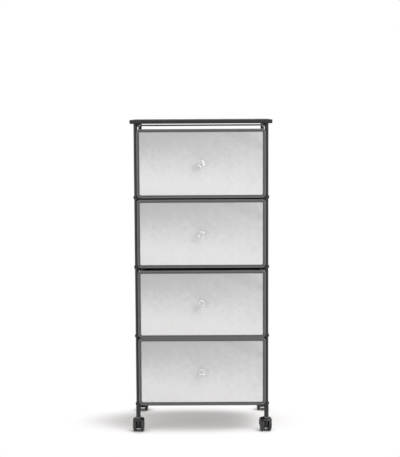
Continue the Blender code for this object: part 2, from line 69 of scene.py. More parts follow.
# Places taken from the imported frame
LADDER_LOW, LADDER_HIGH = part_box("side_frame_right")
POST_RADIUS = (LADDER_HIGH.x - LADDER_LOW.x) / 2
POST_X = (LADDER_HIGH.x + LADDER_LOW.x) / 2
POST_FRONT_Y = LADDER_LOW.y + POST_RADIUS
POST_REAR_Y = LADDER_HIGH.y - POST_RADIUS
BOARD_LOW, BOARD_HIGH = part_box("top_board")
SWIVEL_X, SWIVEL_Y, CASTER_PIVOT_Z = JOINTS["swivel_front_left"]["pos_m"]
AXLE_Y, WHEEL_RADIUS = JOINTS["roll_front_left"]["pos_m"][1:]
CASTER_TRAIL = AXLE_Y - SWIVEL_Y
WHEEL_LOW, WHEEL_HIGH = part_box("caster_wheel_right_front_left")
WHEEL_INNER_X = WHEEL_LOW.x - SWIVEL_X
WHEEL_OUTER_X = WHEEL_HIGH.x - SWIVEL_X

# Rails of the side frames, ends of the bars, and screws under the board
RAIL_RADIUS = 0.005
RAIL_OVER_BAR = 0.002
TOP_RAIL_DROP = 0.001
BAR_END_LENGTH = 0.011
BAR_END_FLARE = 0.0055
SCREW_INSET = 0.05

# Room between pieces that touch, radii of the bores for stems and axles, and depth of a post in its sleeve
SEAT_GAP = 0.0003
STEM_BORE = 0.0043
AXLE_BORE = 0.0023
SLEEVE_DEPTH = 0.016

# Caster, in its own frame: the pivot is at X = Y = 0, and the axle lies behind it along X
AXLE_PLACE = Matrix.Translation((0.0, CASTER_TRAIL, WHEEL_RADIUS))
WHEEL_EDGE = 0.003
WHEEL_DOME = 0.002
WHEEL_HUB = 0.0065
WHEEL_GROOVE_DEPTH = 0.0005
WEB_HALF = WHEEL_INNER_X - 0.001
WEB_DISC = 0.012
HOOD_INNER = WHEEL_RADIUS + 0.0015
HOOD_OUTER = WHEEL_RADIUS + 0.004
HOOD_HALF = WHEEL_OUTER_X - 0.001
HOOD_CROWN = 0.0036
HOOD_WALL = 0.0013
HOOD_BURIED = 0.0012
HOOD_START = -15
HOOD_SWEEP = 157
HOUSING_EASE = 0.00015
NOSE_DEPTH = 0.019

# Drawers: what a hem adds to a bin's wall, height of a bin's rim, and corners of a front
HEM_EXTRA = 0.0014
RIM_HEIGHT = 0.002
FRONT_BOTTOM_RADIUS = 0.0125
FRONT_TOP_RADIUS = 0.009
FRONT_RADII = (FRONT_BOTTOM_RADIUS, FRONT_TOP_RADIUS, FRONT_TOP_RADIUS, FRONT_BOTTOM_RADIUS)
FRONT_EASE = 0.0006

# Lamps of the stage: name, place, height that it faces over the cart's middle, and size
LAMPS = (
    ("key", (1.9, -1.5, 2.3), 0.45, 1.6),
    ("top", (0.7, -0.1, 2.9), 0.5, 1.8),
    ("fill", (-2.2, -2.2, 1.5), 0.5, 2.0),
)

# Floor: how far it reaches, and the patch that shows the shadow, by its shift, half sizes and tint
FLOOR_REACH = 30.0
SHADOW_SHIFT = (0.04, 0.0, 0.0)
SHADOW_HALF = (0.268, 0.124, 1.0)
SHADOW_TINT = (1.0, 0.955, 0.945, 1.0)
WHITE = (1.0, 1.0, 1.0, 1.0)

# Meshes: edges flatter than the first angle are shaded smooth, and sharper than the second are eased
SMOOTH_ANGLE = math.radians(38)
EASE_ANGLE = math.radians(40)
WELD_LENGTH = 0.0003
QUARTER_TURN = math.radians(90)


def number_value(name, default, description, **more):
    """Property of one number."""
    return FloatProperty(name=name, description=description, default=default, **more)


def length_value(name, default, description):
    """Property of one length."""
    return number_value(name, default, description, min=0.0, precision=5, unit="LENGTH")


def angle_value(name, degrees, description):
    """Property of one angle."""
    return number_value(name, math.radians(degrees), description, subtype="ANGLE")


def colour_value(name, default, description):
    """Property of one colour, in linear light."""
    return FloatVectorProperty(
        name=name, description=description, default=default, size=3, min=0.0, max=1.0, subtype="COLOR"
    )


class CartSizes(bpy.types.PropertyGroup):
    """Sizes of the details that the frame leaves to the looks."""

    board_edge: length_value("Board edge", 0.0016, "Radius of the top board's long edges")
    board_corner: length_value("Board corner", 0.006, "Radius of the top board's corners in plan")
    tube_wall: length_value("Tube wall", 0.001, "Wall of the posts, rails and bars")
    weld_bead: length_value("Weld bead", 0.0011, "Radius of the weld round each rail's end")
    bolt_head: length_value("Bolt head", 0.0105, "Diameter of the bolt heads on the posts")
    bolt_rise: length_value("Bolt rise", 0.0024, "Height of a bolt head over the post")
    cloth_wall: length_value("Bin cloth", 0.0024, "Thickness of a bin's wall")
    bin_corner: length_value("Bin corner", 0.012, "Radius of a bin's corners in plan")
    bin_bow: length_value("Bin bow", 0.0034, "How far a bin's free walls draw in between the corners")
    bin_wrinkle: length_value("Bin wrinkles", 0.0016, "Depth of the soft wrinkles in a bin's walls")
    hem_height: length_value("Hem height", 0.016, "Height of the doubled cloth at a bin's rim")
    front_crown: length_value("Front crown", 0.0007, "How far a front's cloth stands out in the middle")
    tape_lip: length_value("Tape lip", 0.0075, "How far the binding reaches over a front's face")
    stitch_pitch: length_value("Stitch pitch", 0.0042, "Distance from one stitch to the next")
    stitch_length: length_value("Stitch length", 0.0031, "Length of one stitch")
    thread: length_value("Thread", 0.0006, "Diameter of the sewing thread")
    weave_pitch: length_value("Weave pitch", 0.0009, "Distance between the threads of a front's cloth")
    dimple_pitch: length_value("Dimple pitch", 0.0021, "Distance between the dimples of a bin's cloth")


class CartColours(bpy.types.PropertyGroup):
    """Colours of the finishes."""

    laminate: colour_value("Laminate", (0.0215, 0.0205, 0.0205), "Top board")
    powder_coat: colour_value("Powder coat", (0.0108, 0.0108, 0.0113), "Steel tubes")
    rod_coat: colour_value("Rod coat", (0.30, 0.30, 0.305), "Thin rod at the back")
    moulded: colour_value("Moulded plastic", (0.0080, 0.0081, 0.0079), "Casters and leg sleeves")
    dust: colour_value("Dust", (0.11, 0.105, 0.10), "Worn tread of the wheels")
    zinc: colour_value("Zinc", (0.52, 0.52, 0.53), "Plated steel")
    # Front cloth: the upper colour is the lower one darkened by a painted shade
    cloth_low: colour_value("Cloth, lower part", (0.775, 0.775, 0.775), "Front cloth near its lower edge")
    cloth_shaded_high: colour_value("Cloth, upper part", (0.49, 0.49, 0.492), "Front cloth near its upper edge")
    tape: colour_value("Tape", (0.083, 0.0834, 0.0846), "Binding tape")
    thread: colour_value("Thread", (0.15, 0.15, 0.153), "Sewing thread")
    bin_cloth: colour_value("Bin cloth", (0.075, 0.077, 0.080), "Bins")
    base_board: colour_value("Base board", (0.15, 0.14, 0.13), "Loose boards in the bins")
    acrylic: colour_value("Acrylic", (0.95, 0.96, 0.97), "Knobs")
    floor: colour_value("Floor", (0.96, 0.935, 0.925), "Floor of the stage")


class CartStage(bpy.types.PropertyGroup):
    """Camera and light."""

    camera: FloatVectorProperty(
        name="Camera", description="Where the camera stands", default=(0.0072, -3.7272, 1.0264),
        size=3, subtype="TRANSLATION", unit="LENGTH",
    )
    pitch: angle_value("Pitch", 5.888, "How far the camera looks down")
    yaw: angle_value("Yaw", -0.188, "How far the camera looks to its right")
    roll: angle_value("Roll", -0.3, "How far the camera leans")
    focal: number_value("Focal length", 1146.6 / 457.0, "Focal length in picture heights")
    key_power: number_value("Key light", 43.0, "Power of the large lamp on the right", unit="POWER")
    fill_power: number_value("Fill light", 21.0, "Power of the lamp on the left", unit="POWER")
    top_power: number_value("Top light", 34.0, "Power of the lamp overhead", unit="POWER")
    ambient: number_value("Ambient light", 0.40, "Strength of the light from all round")
    floor_white: number_value(
        "Floor white", 0.36, "Share of plain white in the floor under the cart",
        min=0.0, max=1.0, subtype="FACTOR",
    )


def cart_sizes():
    """Sizes in the current scene."""
    return bpy.context.scene.cart_sizes


def cart_colours():
    """Colours in the current scene."""
    return bpy.context.scene.cart_colours


# Meshes


def in_scene(name, data):
    """New object in the scene."""
    made = bpy.data.objects.new(name, data)
    bpy.context.scene.collection.objects.link(made)
    return made


def smooth(mesh):
    """Shade round sides smooth and keep hard edges."""
    mesh.shade_smooth()
    mesh.set_sharp_from_angle(angle=SMOOTH_ANGLE)


def finished(name, bm):
    """Turn a closed bmesh into a mesh with outward faces and smooth round sides."""
    bmesh.ops.recalc_face_normals(bm, faces=bm.faces)
    mesh = bpy.data.meshes.new(name)
    bm.to_mesh(mesh)
    bm.free()
    smooth(mesh)
    return mesh


def applied(name, thing):
    """Plain mesh of an object with its modifiers applied. The object and its modifiers are removed."""
    graph = bpy.context.evaluated_depsgraph_get()
    mesh = bpy.data.meshes.new_from_object(thing.evaluated_get(graph))
    mesh.name = name
    thing.modifiers.clear()
    bpy.data.objects.remove(thing)
    smooth(mesh)
    return mesh


def skin(bm, rings, loop=False, around=None, along=None):
    """Add a closed skin through rings of points to a bmesh.

    A loop of rings closes on itself, and otherwise each end gets a flat cap. around and along give the
    place on the cloth of each column and row, in metres, for the piece's own UV map.
    """
    rows = len(rings)
    columns = len(rings[0])
    grid = [[bm.verts.new(point) for point in ring] for ring in rings]
    layer = bm.loops.layers.uv.new("cloth") if around is not None else None
    for row in range(rows if loop else rows - 1):
        for column in range(columns):
            corners = ((row, column), (row, column + 1), (row + 1, column + 1), (row + 1, column))
            face = bm.faces.new([grid[r % rows][c % columns] for r, c in corners])
            if layer is not None:
                for corner, (r, c) in zip(face.loops, corners):
                    corner[layer].uv = (around[c], along[r])
    if not loop:
        for ring in (grid[0], grid[-1]):
            face = bm.faces.new(ring)
            if layer is not None:
                for corner in face.loops:
                    corner[layer].uv = corner.vert.co.xy


def lofted(name, rings, **options):
    """Closed mesh through rings of points, with the options of skin."""
    bm = bmesh.new()
    skin(bm, rings, **options)
    return finished(name, bm)


def circle(radius, sides):
    """Points round a circle about the origin."""
    angles = [math.tau * step / sides for step in range(sides)]
    return [(radius * math.cos(a), radius * math.sin(a)) for a in angles]


def turned_rings(profile, sides):
    """Rings about Z of (radius, height) points."""
    return [[(x, y, height) for x, y in circle(radius, sides)] for radius, height in profile]


def turned(name, profile, sides, loop=False):
    """Body turned about Z; a profile that isn't a loop gets flat caps."""
    return lofted(name, turned_rings(profile, sides), loop=loop)


def joined(name, meshes):
    """Several closed meshes as one."""
    bm = bmesh.new()
    for mesh in meshes:
        bm.from_mesh(mesh)
        bpy.data.meshes.remove(mesh)
    return finished(name, bm)


def moved(mesh, matrix):
    """The mesh after a move or turn."""
    mesh.transform(matrix)
    return mesh


def marked(mesh, name, values):
    """The mesh with one number on each of its points, for a finish to read."""
    mesh.attributes.new(name, "FLOAT", "POINT").data.foreach_set("value", values)
    return mesh


def combined(name, base, steps, ease_width=0.0):
    """Mesh of a base body after Boolean steps with other meshes, with its edges eased."""
    body = in_scene(name, base)
    tools = []
    for operation, mesh in steps:
        tools.append(in_scene(mesh.name, mesh))
        cut = body.modifiers.new(operation, "BOOLEAN")
        cut.operation = operation
        cut.solver = "EXACT"
        cut.object = tools[-1]
    weld = body.modifiers.new("weld", "WELD")
    weld.merge_threshold = WELD_LENGTH
    if ease_width:
        ease = body.modifiers.new("ease", "BEVEL")
        ease.width = ease_width
        ease.segments = 2
        ease.limit_method = "ANGLE"
        ease.angle_limit = EASE_ANGLE
        ease.use_clamp_overlap = False
    result = applied(name, body)
    for tool in tools:
        bpy.data.objects.remove(tool)
    return result


def rounded_edge(radius, steps, start, end):
    """Offsets of an arc: (along the first axis, along the second) from angle start to end, in degrees."""
    angles = [math.radians(start + (end - start) * step / steps) for step in range(steps + 1)]
    return [(radius * math.cos(a), radius * math.sin(a)) for a in angles]


def spread(first, last, count):
    """Evenly spaced values after the first, up to the last."""
    return [first + (last - first) * step / count for step in range(1, count + 1)]


def running_length(points):
    """Distance along a line of flat points, at each of them."""
    lengths = [0.0]
    for (x, y), (next_x, next_y) in zip(points, points[1:]):
        lengths.append(lengths[-1] + math.hypot(next_x - x, next_y - y))
    return lengths


def outline(half_width, half_height, radii, step, corner_steps):
    """Points and outward directions round a rounded rectangle, anticlockwise from the lower right corner.

    radii holds the lower right, upper right, upper left and lower left corner. Straight sides are split
    into parts of about one step. The third result is the distance along the outline of each point.
    """
    signs = ((1, -1), (1, 1), (-1, 1), (-1, -1))
    centres = []
    for (side_x, side_y), radius in zip(signs, radii):
        centres.append(np.array([side_x * (half_width - radius), side_y * (half_height - radius)]))
    points = []
    normals = []
    for quarter in range(4):
        following = (quarter + 1) % 4
        for part in range(corner_steps + 1):
            angle = QUARTER_TURN * (quarter - 1 + part / corner_steps)
            normal = np.array([math.cos(angle), math.sin(angle)])
            points.append(centres[quarter] + radii[quarter] * normal)
            normals.append(normal)
        start = points[-1]
        target = centres[following] + radii[following] * normals[-1]
        parts = max(1, round(float(np.linalg.norm(target - start)) / step))
        for part in range(1, parts):
            points.append(start + (target - start) * part / parts)
            normals.append(normals[-1])
    points = np.array(points)
    gaps = np.linalg.norm(np.roll(points, -1, axis=0) - points, axis=1)
    distance = np.concatenate([[0.0], np.cumsum(gaps)])
    return points, np.array(normals), distance


def soft_noise(x, y, z):
    """Smooth noise from about -1 to 1."""
    return noise.noise(Vector((x, y, z)))


def smoothstep(low, high, value):
    """0 below low, 1 above high, and a smooth step between."""
    t = min(1.0, max(0.0, (value - low) / (high - low)))
    return t * t * (3 - 2 * t)


def add_piece(name, mesh, body, finish, stands_for=()):
    """Put a finished mesh in the scene, riding on a body and standing for its frame nodes."""
    mesh.materials.clear()
    mesh.materials.append(finish)
    piece = in_scene(name, mesh)
    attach(piece, body)
    if stands_for:
        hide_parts(*stands_for)


def dress_node(node, finish):
    """Give a frame node that keeps its shape its finish."""
    frame["nodes"][node].material_slots[0].material = finish


# Geometry Nodes


def new_tree(name, inputs):
    """Node tree with a geometry input and output, and further inputs by name and kind."""
    tree = bpy.data.node_groups.new(name, "GeometryNodeTree")
    tree.interface.new_socket("Geometry", in_out="INPUT", socket_type="NodeSocketGeometry")
    for input_name, kind in inputs.items():
        tree.interface.new_socket(input_name, in_out="INPUT", socket_type=f"NodeSocket{kind}")
    tree.interface.new_socket("Geometry", in_out="OUTPUT", socket_type="NodeSocketGeometry")
    return tree, tree.nodes.new("NodeGroupInput").outputs


def set_copies(tree, points, shape, direction, scale, finish):
    """End a tree with a finished copy of a shape on each point, its Z axis along a direction."""
    new = tree.nodes.new
    link = tree.links.new
    turn = new("FunctionNodeAlignRotationToVector")
    turn.axis = "Z"
    link(direction, turn.inputs["Vector"])
    copies = new("GeometryNodeInstanceOnPoints")
    link(points, copies.inputs["Points"])
    link(shape, copies.inputs["Instance"])
    link(turn.outputs["Rotation"], copies.inputs["Rotation"])
    link(scale, copies.inputs["Scale"])
    real = new("GeometryNodeRealizeInstances")
    link(copies.outputs["Instances"], real.inputs["Geometry"])
    dressed = new("GeometryNodeSetMaterial")
    link(real.outputs["Geometry"], dressed.inputs["Geometry"])
    link(finish, dressed.inputs["Material"])
    link(dressed.outputs["Geometry"], new("NodeGroupOutput").inputs["Geometry"])


def fastener_tree():
    """Sets one fastener on each point, its axis along the point's facing direction."""
    tree, given = new_tree("Fasteners", {"Template": "Object", "Size": "Float", "Finish": "Material"})
    facing = tree.nodes.new("GeometryNodeInputNamedAttribute")
    facing.data_type = "FLOAT_VECTOR"
    facing.inputs["Name"].default_value = "facing"
    template = tree.nodes.new("GeometryNodeObjectInfo")
    tree.links.new(given["Template"], template.inputs["Object"])
    shape = template.outputs["Geometry"]
    set_copies(tree, given["Geometry"], shape, facing.outputs["Attribute"], given["Size"], given["Finish"])
    return tree


def stitch_tree():
    """Sews a line of stitches along each edge loop of a mesh."""
    sizes = {"Pitch": "Float", "Stitch Length": "Float", "Thread": "Float"}
    tree, given = new_tree("Stitches", {**sizes, "Finish": "Material"})
    new = tree.nodes.new
    link = tree.links.new
    seam = new("GeometryNodeMeshToCurve")
    link(given["Geometry"], seam.inputs["Mesh"])
    spaced = new("GeometryNodeResampleCurve")
    spaced.mode = "LENGTH"
    link(seam.outputs["Curve"], spaced.inputs["Curve"])
    link(given["Pitch"], spaced.inputs["Length"])
    bead = new("GeometryNodeMeshUVSphere")
    bead.inputs["Segments"].default_value = 6
    bead.inputs["Rings"].default_value = 5
    bead.inputs["Radius"].default_value = 0.5
    size = new("ShaderNodeCombineXYZ")
    link(given["Thread"], size.inputs["X"])
    link(given["Thread"], size.inputs["Y"])
    link(given["Stitch Length"], size.inputs["Z"])
    tangent = new("GeometryNodeInputTangent").outputs["Tangent"]
    shape = bead.outputs["Mesh"]
    set_copies(tree, spaced.outputs["Curve"], shape, tangent, size.outputs["Vector"], given["Finish"])
    return tree


def grown(name, seed_mesh, tree, values):
    """Plain mesh of a node tree's result on a seed mesh."""
    carrier = in_scene(name, seed_mesh)
    modifier = carrier.modifiers.new("nodes", "NODES")
    modifier.node_group = tree
    for item in tree.interface.items_tree:
        if item.in_out == "INPUT" and item.name in values:
            modifier[item.identifier] = values[item.name]
    return applied(name, carrier)


def fastened(name, spots, template_mesh, finish):
    """One mesh with a copy of the template at each (place, facing) spot."""
    points = bpy.data.meshes.new(name + "_spots")
    points.from_pydata([place for place, _ in spots], [], [])
    facing = points.attributes.new("facing", "FLOAT_VECTOR", "POINT")
    facing.data.foreach_set("vector", [value for _, direction in spots for value in direction])
    template = in_scene(name + "_template", template_mesh)
    mesh = grown(name, points, fastener_tree(), {"Template": template, "Size": 1.0, "Finish": finish})
    bpy.data.objects.remove(template)
    return mesh


def sewn(name, paths, finish):
    """One mesh with a line of stitches along each closed path of points."""
    sizes = cart_sizes()
    places = []
    edges = []
    for path in paths:
        first = len(places)
        count = len(path)
        places.extend(tuple(point) for point in path)
        edges.extend((first + step, first + (step + 1) % count) for step in range(count))
    seams = bpy.data.meshes.new(name + "_seams")
    seams.from_pydata(places, edges, [])
    values = {
        "Pitch": sizes.stitch_pitch,
        "Stitch Length": sizes.stitch_length,
        "Thread": sizes.thread,
        "Finish": finish,
    }
    return grown(name, seams, stitch_tree(), values)


# Finishes


def shade(colour, factor=1.0):
    """A colour made darker or lighter, with alpha."""
    return (*[min(1.0, part * factor) for part in colour], 1.0)


class Finish:
    """One procedural material, with short calls that add a node or feed a socket of its shader."""

    def __init__(self, name, **constants):
        self.material = bpy.data.materials.new(name)
        self.material.use_nodes = True
        self.tree = self.material.node_tree
        self.shader = self.tree.nodes["Principled BSDF"]
        for key, value in constants.items():
            self.shader.inputs[key.replace("_", " ")].default_value = value

    def feed(self, socket, value):
        """Join a socket to another one, or set its constant."""
        if isinstance(value, bpy.types.NodeSocket):
            self.tree.links.new(value, socket)
        else:
            socket.default_value = value

    def node(self, kind, inputs, output, **settings):
        """Add a node, feed its inputs and return one of its outputs."""
        made = self.tree.nodes.new(kind)
        for key, value in settings.items():
            setattr(made, key, value)
        for key, value in inputs.items():
            self.feed(made.inputs[key], value)
        return made.outputs[output]

    def place(self):
        """Object coordinates."""
        return self.node("ShaderNodeTexCoord", {}, "Object")

    def cloth_place(self):
        """Place on the piece's own cloth, in metres."""
        return self.node("ShaderNodeUVMap", {}, "UV", uv_map="cloth")

    def mark(self, name):
        """Number that the piece's points carry."""
        return self.node("ShaderNodeAttribute", {}, "Fac", attribute_name=name)

    def axes(self, vector):
        """The X and the Y part of a vector."""
        parts = self.tree.nodes.new("ShaderNodeSeparateXYZ")
        self.feed(parts.inputs[0], vector)
        return parts.outputs["X"], parts.outputs["Y"]

    def stretched(self, vector, scale, turn=(0.0, 0.0, 0.0)):
        """Coordinates scaled by axis, after a turn."""
        return self.node("ShaderNodeMapping", {"Vector": vector, "Scale": scale, "Rotation": turn}, "Vector")

    def grain(self, vector, scale, detail=3.0, rough=0.55):
        """Noise from 0 to 1."""
        inputs = {"Vector": vector, "Scale": scale, "Detail": detail, "Roughness": rough}
        return self.node("ShaderNodeTexNoise", inputs, "Fac")

    def streaks(self, vector, scale, detail=3.0, rough=0.55, turn=(0.0, 0.0, 0.0)):
        """Noise from 0 to 1, with a scale for each axis after a turn."""
        return self.grain(self.stretched(vector, scale, turn), 1.0, detail, rough)

    def math(self, operation, first, second=0.0):
        """One step of arithmetic."""
        return self.node("ShaderNodeMath", {0: first, 1: second}, "Value", operation=operation)

    def plus(self, first, second):
        """Sum of two values."""
        return self.math("ADD", first, second)

    def minus(self, first, second):
        """First value less the second."""
        return self.math("SUBTRACT", first, second)

    def times(self, first, second):
        """Product of two values."""
        return self.math("MULTIPLY", first, second)

    def swing(self, value, size):
        """Noise moved to swing about zero, over a range of a given size."""
        return self.times(self.minus(value, 0.5), size)

    def between(self, value, low, high, new_low, new_high):
        """Value moved from one range to another with a smooth step, held at its ends."""
        inputs = {"Value": value, "From Min": low, "From Max": high, "To Min": new_low, "To Max": new_high}
        return self.node("ShaderNodeMapRange", inputs, "Result", interpolation_type="SMOOTHSTEP")

    def blend(self, share, first, second):
        """Mix of two colours."""
        return self.node("ShaderNodeMix", {0: share, 6: first, 7: second}, 2, data_type="RGBA")

    def shades(self, share, colour, low, high):
        """Mix of two shades of one colour."""
        return self.blend(share, shade(colour, low), shade(colour, high))

    def colour(self, value):
        """Feed the shader's colour."""
        self.feed(self.shader.inputs["Base Color"], value)

    def roughness(self, value):
        """Feed the shader's roughness."""
        self.feed(self.shader.inputs["Roughness"], value)

    def gloss(self, noise_value, low, high):
        """Feed the shader's roughness, from low to high over the middle of a noise."""
        self.roughness(self.between(noise_value, 0.3, 0.7, low, high))

    def relief(self, height, strength, depth):
        """Feed the shader's normal from a height."""
        inputs = {"Height": height, "Strength": strength, "Distance": depth}
        self.feed(self.shader.inputs["Normal"], self.node("ShaderNodeBump", inputs, "Normal"))


def laminate_finish():
    """Black laminate: fine pebble, cloudy gloss and a few hairline scuffs along the board."""
    finish = Finish("black_laminate", Specular_IOR_Level=0.32)
    colour = cart_colours().laminate
    place = finish.place()
    cloud = finish.grain(place, 9.0, 4.0)
    scuffs = finish.streaks(place, (14.0, 420.0, 60.0), 5.0, 0.7)
    scuffed = finish.between(scuffs, 0.62, 0.78, 0.0, 1.0)
    tone = finish.shades(cloud, colour, 0.86, 1.16)
    finish.colour(finish.blend(finish.times(scuffed, 0.35), tone, shade(colour, 1.9)))
    finish.gloss(cloud, 0.56, 0.70)
    finish.relief(finish.grain(place, 1600.0, 2.0), 0.10, 0.0002)
    return finish.material


def powder_coat_finish(name, colour):
    """Powder coat on steel: orange peel and a cloudy satin gloss."""
    finish = Finish(name)
    place = finish.place()
    cloud = finish.grain(place, 38.0, 4.0)
    finish.colour(finish.shades(cloud, colour, 0.82, 1.24))
    finish.gloss(cloud, 0.34, 0.47)
    peel = finish.plus(finish.grain(place, 700.0, 2.0), finish.grain(place, 2200.0, 1.0))
    finish.relief(peel, 0.14, 0.0003)
    return finish.material


def moulded_finish(name, factor, rough):
    """Black moulded plastic: fine spark grain and cloudy gloss."""
    finish = Finish(name)
    place = finish.place()
    cloud = finish.grain(place, 55.0, 3.0)
    finish.colour(finish.shades(cloud, cart_colours().moulded, 0.85 * factor, 1.2 * factor))
    finish.gloss(cloud, rough, rough + 0.13)
    finish.relief(finish.grain(place, 2400.0, 2.0), 0.16, 0.0002)
    return finish.material


def wheel_finish():
    """Moulded wheel with a scuffed, dusty tread."""
    finish = Finish("worn_black_wheel")
    colours = cart_colours()
    place = finish.place()
    cloud = finish.grain(place, 70.0, 4.0)
    streak = finish.streaks(place, (900.0, 90.0, 90.0), 4.0, 0.65)
    dusty = finish.times(finish.mark("tread"), finish.between(streak, 0.42, 0.70, 0.04, 0.42))
    tone = finish.shades(cloud, colours.moulded, 0.8, 1.15)
    finish.colour(finish.blend(dusty, tone, shade(colours.dust)))
    finish.roughness(finish.between(dusty, 0.0, 0.5, 0.46, 0.78))
    finish.relief(finish.plus(finish.grain(place, 1900.0, 2.0), streak), 0.15, 0.0002)
    return finish.material


def zinc_finish():
    """Zinc-plated steel: turning streaks and a faint cloud."""
    finish = Finish("zinc_plated_steel", Metallic=1.0)
    place = finish.place()
    cloud = finish.grain(place, 120.0, 3.0)
    streak = finish.streaks(place, (120.0, 120.0, 4200.0))
    finish.colour(finish.shades(cloud, cart_colours().zinc, 0.85, 1.15))
    finish.gloss(streak, 0.24, 0.42)
    finish.relief(streak, 0.08, 0.0001)
    return finish.material


def weave(finish, place, pitch):
    """Height of a plain weave from 0 to 1, on cloth coordinates in metres."""
    x, y = finish.axes(finish.stretched(place, (math.pi / pitch, math.pi / pitch, 1.0)))
    over = finish.times(finish.math("SINE", x), finish.math("SINE", y))
    return finish.plus(finish.times(over, 0.5), 0.5)


def front_cloth_finish(half_width, half_height):
    """Pale cloth: plain weave with slubs and a faint mottle, with painted shade: darker towards its upper
    edge, and a soft slanting band of painted shade with a painted highlight in the upper right corner beyond
    it.
    """
    finish = Finish("pale_front_cloth", Sheen_Weight=0.12, Sheen_Roughness=0.5)
    # low is the cloth's paler colour; high is that colour darkened by painted shade, for the upper part
    low = cart_colours().cloth_low
    high = cart_colours().cloth_shaded_high
    place = finish.cloth_place()
    x, y = finish.axes(place)
    across = finish.math("DIVIDE", x, half_width)
    upward = finish.math("DIVIDE", y, half_height)
    drift = finish.swing(finish.grain(place, 11.0, 4.0, 0.6), 0.42)
    mottle = finish.swing(finish.grain(place, 52.0, 3.0), 0.72)
    # Painted shade: the cloth darkens towards its upper edge and a little to the right, more at the upper
    # left and lower right corners than at the other two
    crossed_shade = finish.times(finish.times(across, upward), 0.42)
    shade_rise = finish.plus(upward, finish.times(across, 0.09))
    level = finish.plus(finish.minus(finish.plus(drift, crossed_shade), shade_rise), mottle)
    tone = finish.blend(finish.between(level, -1.05, 0.80, 0.0, 1.0), shade(high), shade(low))
    # Painted shade in a soft slanting band towards the upper right corner, and a painted highlight in the
    # corner beyond it
    slant = finish.plus(finish.times(across, 0.72), upward)
    slant = finish.plus(slant, finish.times(drift, 0.25))
    rising = finish.between(slant, 1.02, 1.19, 0.0, 1.0)
    falling = finish.between(slant, 1.19, 1.52, 1.0, -0.75)
    shade_band = finish.times(rising, falling)
    darker = finish.times(finish.math("MAXIMUM", shade_band, 0.0), 0.16)
    paler = finish.times(finish.math("MAXIMUM", finish.times(shade_band, -1.0), 0.0), 0.22)
    tone = finish.blend(darker, tone, shade(high, 0.72))
    tone = finish.blend(paler, tone, shade(low))
    slubs_across = finish.streaks(place, (70.0, 1100.0, 1.0), 2.0)
    slubs_up = finish.streaks(place, (1100.0, 70.0, 1.0), 2.0)
    slubs = finish.times(finish.plus(slubs_across, slubs_up), 0.5)
    finish.colour(finish.blend(finish.between(slubs, 0.38, 0.62, 0.0, 0.16), tone, shade(high, 0.9)))
    finish.gloss(slubs, 0.80, 0.92)
    threads = weave(finish, place, cart_sizes().weave_pitch)
    finish.relief(finish.plus(threads, finish.times(slubs, 0.8)), 0.22, 0.0003)
    return finish.material


def tape_finish():
    """Folded binding tape: fine ribs across its length, with a painted highlight towards the fold and
    painted shade towards its inner edge.
    """
    finish = Finish("grey_binding_tape", Sheen_Weight=0.1, Sheen_Roughness=0.5)
    colour = cart_colours().tape
    place = finish.cloth_place()
    rib_pitch = 0.0011
    around, _ = finish.axes(finish.stretched(place, (math.tau / rib_pitch, 1.0, 1.0)))
    ribs = finish.math("SINE", around)
    fibre = finish.streaks(place, (260.0, 900.0, 1.0))
    cloud = finish.grain(place, 26.0, 3.0)
    # Painted light: both ranges of the tape's colour run from a painted shade at the inner edge to a painted
    # highlight at the fold
    fold = finish.mark("fold")
    dark = finish.shades(fold, colour, 0.56, 1.40)
    fold_highlight = finish.shades(fold, colour, 0.76, 1.75)
    tone = finish.blend(cloud, dark, fold_highlight)
    finish.colour(finish.blend(finish.times(fibre, 0.35), tone, shade(colour, 1.55)))
    finish.gloss(fibre, 0.76, 0.92)
    finish.relief(finish.plus(finish.times(ribs, 0.4), fibre), 0.3, 0.0002)
    return finish.material


def bin_cloth_finish():
    """Dark non-woven cloth: a fine grid of pressed dimples and tangled fibres."""
    finish = Finish("dark_bin_cloth", Sheen_Weight=0.15, Sheen_Roughness=0.55)
    colour = cart_colours().bin_cloth
    place = finish.cloth_place()
    dimples = weave(finish, place, cart_sizes().dimple_pitch)
    fibre = finish.grain(place, 1300.0, 3.0, 0.7)
    cloud = finish.grain(place, 17.0, 4.0)
    tone = finish.shades(cloud, colour, 0.82, 1.20)
    pressed = finish.between(dimples, 0.62, 0.95, 0.0, 0.45)
    finish.colour(finish.blend(pressed, tone, shade(colour, 0.55)))
    finish.gloss(fibre, 0.78, 0.94)
    finish.relief(finish.minus(finish.times(fibre, 0.6), pressed), 0.35, 0.0003)
    return finish.material


def thread_finish():
    """Sewing thread, twisted, so its bump runs slantwise."""
    finish = Finish("grey_thread", Sheen_Weight=0.2, Sheen_Roughness=0.4)
    twist = finish.streaks(finish.place(), (2600.0, 900.0, 2600.0), 2.0, turn=(0.0, 0.6, 0.4))
    finish.colour(finish.shades(twist, cart_colours().thread, 0.75, 1.25))
    finish.gloss(twist, 0.6, 0.8)
    finish.relief(twist, 0.25, 0.0002)
    return finish.material


def base_board_finish():
    """Pressed fibre board."""
    finish = Finish("pressed_base_board")
    fibre = finish.streaks(finish.place(), (320.0, 90.0, 320.0), 5.0, 0.7, (0.0, 0.0, 0.5))
    finish.colour(finish.shades(fibre, cart_colours().base_board, 0.65, 1.35))
    finish.gloss(fibre, 0.7, 0.88)
    finish.relief(fibre, 0.2, 0.0003)
    return finish.material


def acrylic_finish():
    """Clear acrylic with a milky core and faint handling marks."""
    finish = Finish("clear_acrylic", Transmission_Weight=0.62, IOR=1.49)
    finish.colour(shade(cart_colours().acrylic))
    place = finish.place()
    marks = finish.grain(place, 260.0, 4.0, 0.6)
    finish.roughness(finish.between(marks, 0.45, 0.75, 0.015, 0.09))
    finish.relief(finish.grain(place, 150.0, 2.0), 0.03, 0.0003)
    return finish.material


# Pieces of the frame


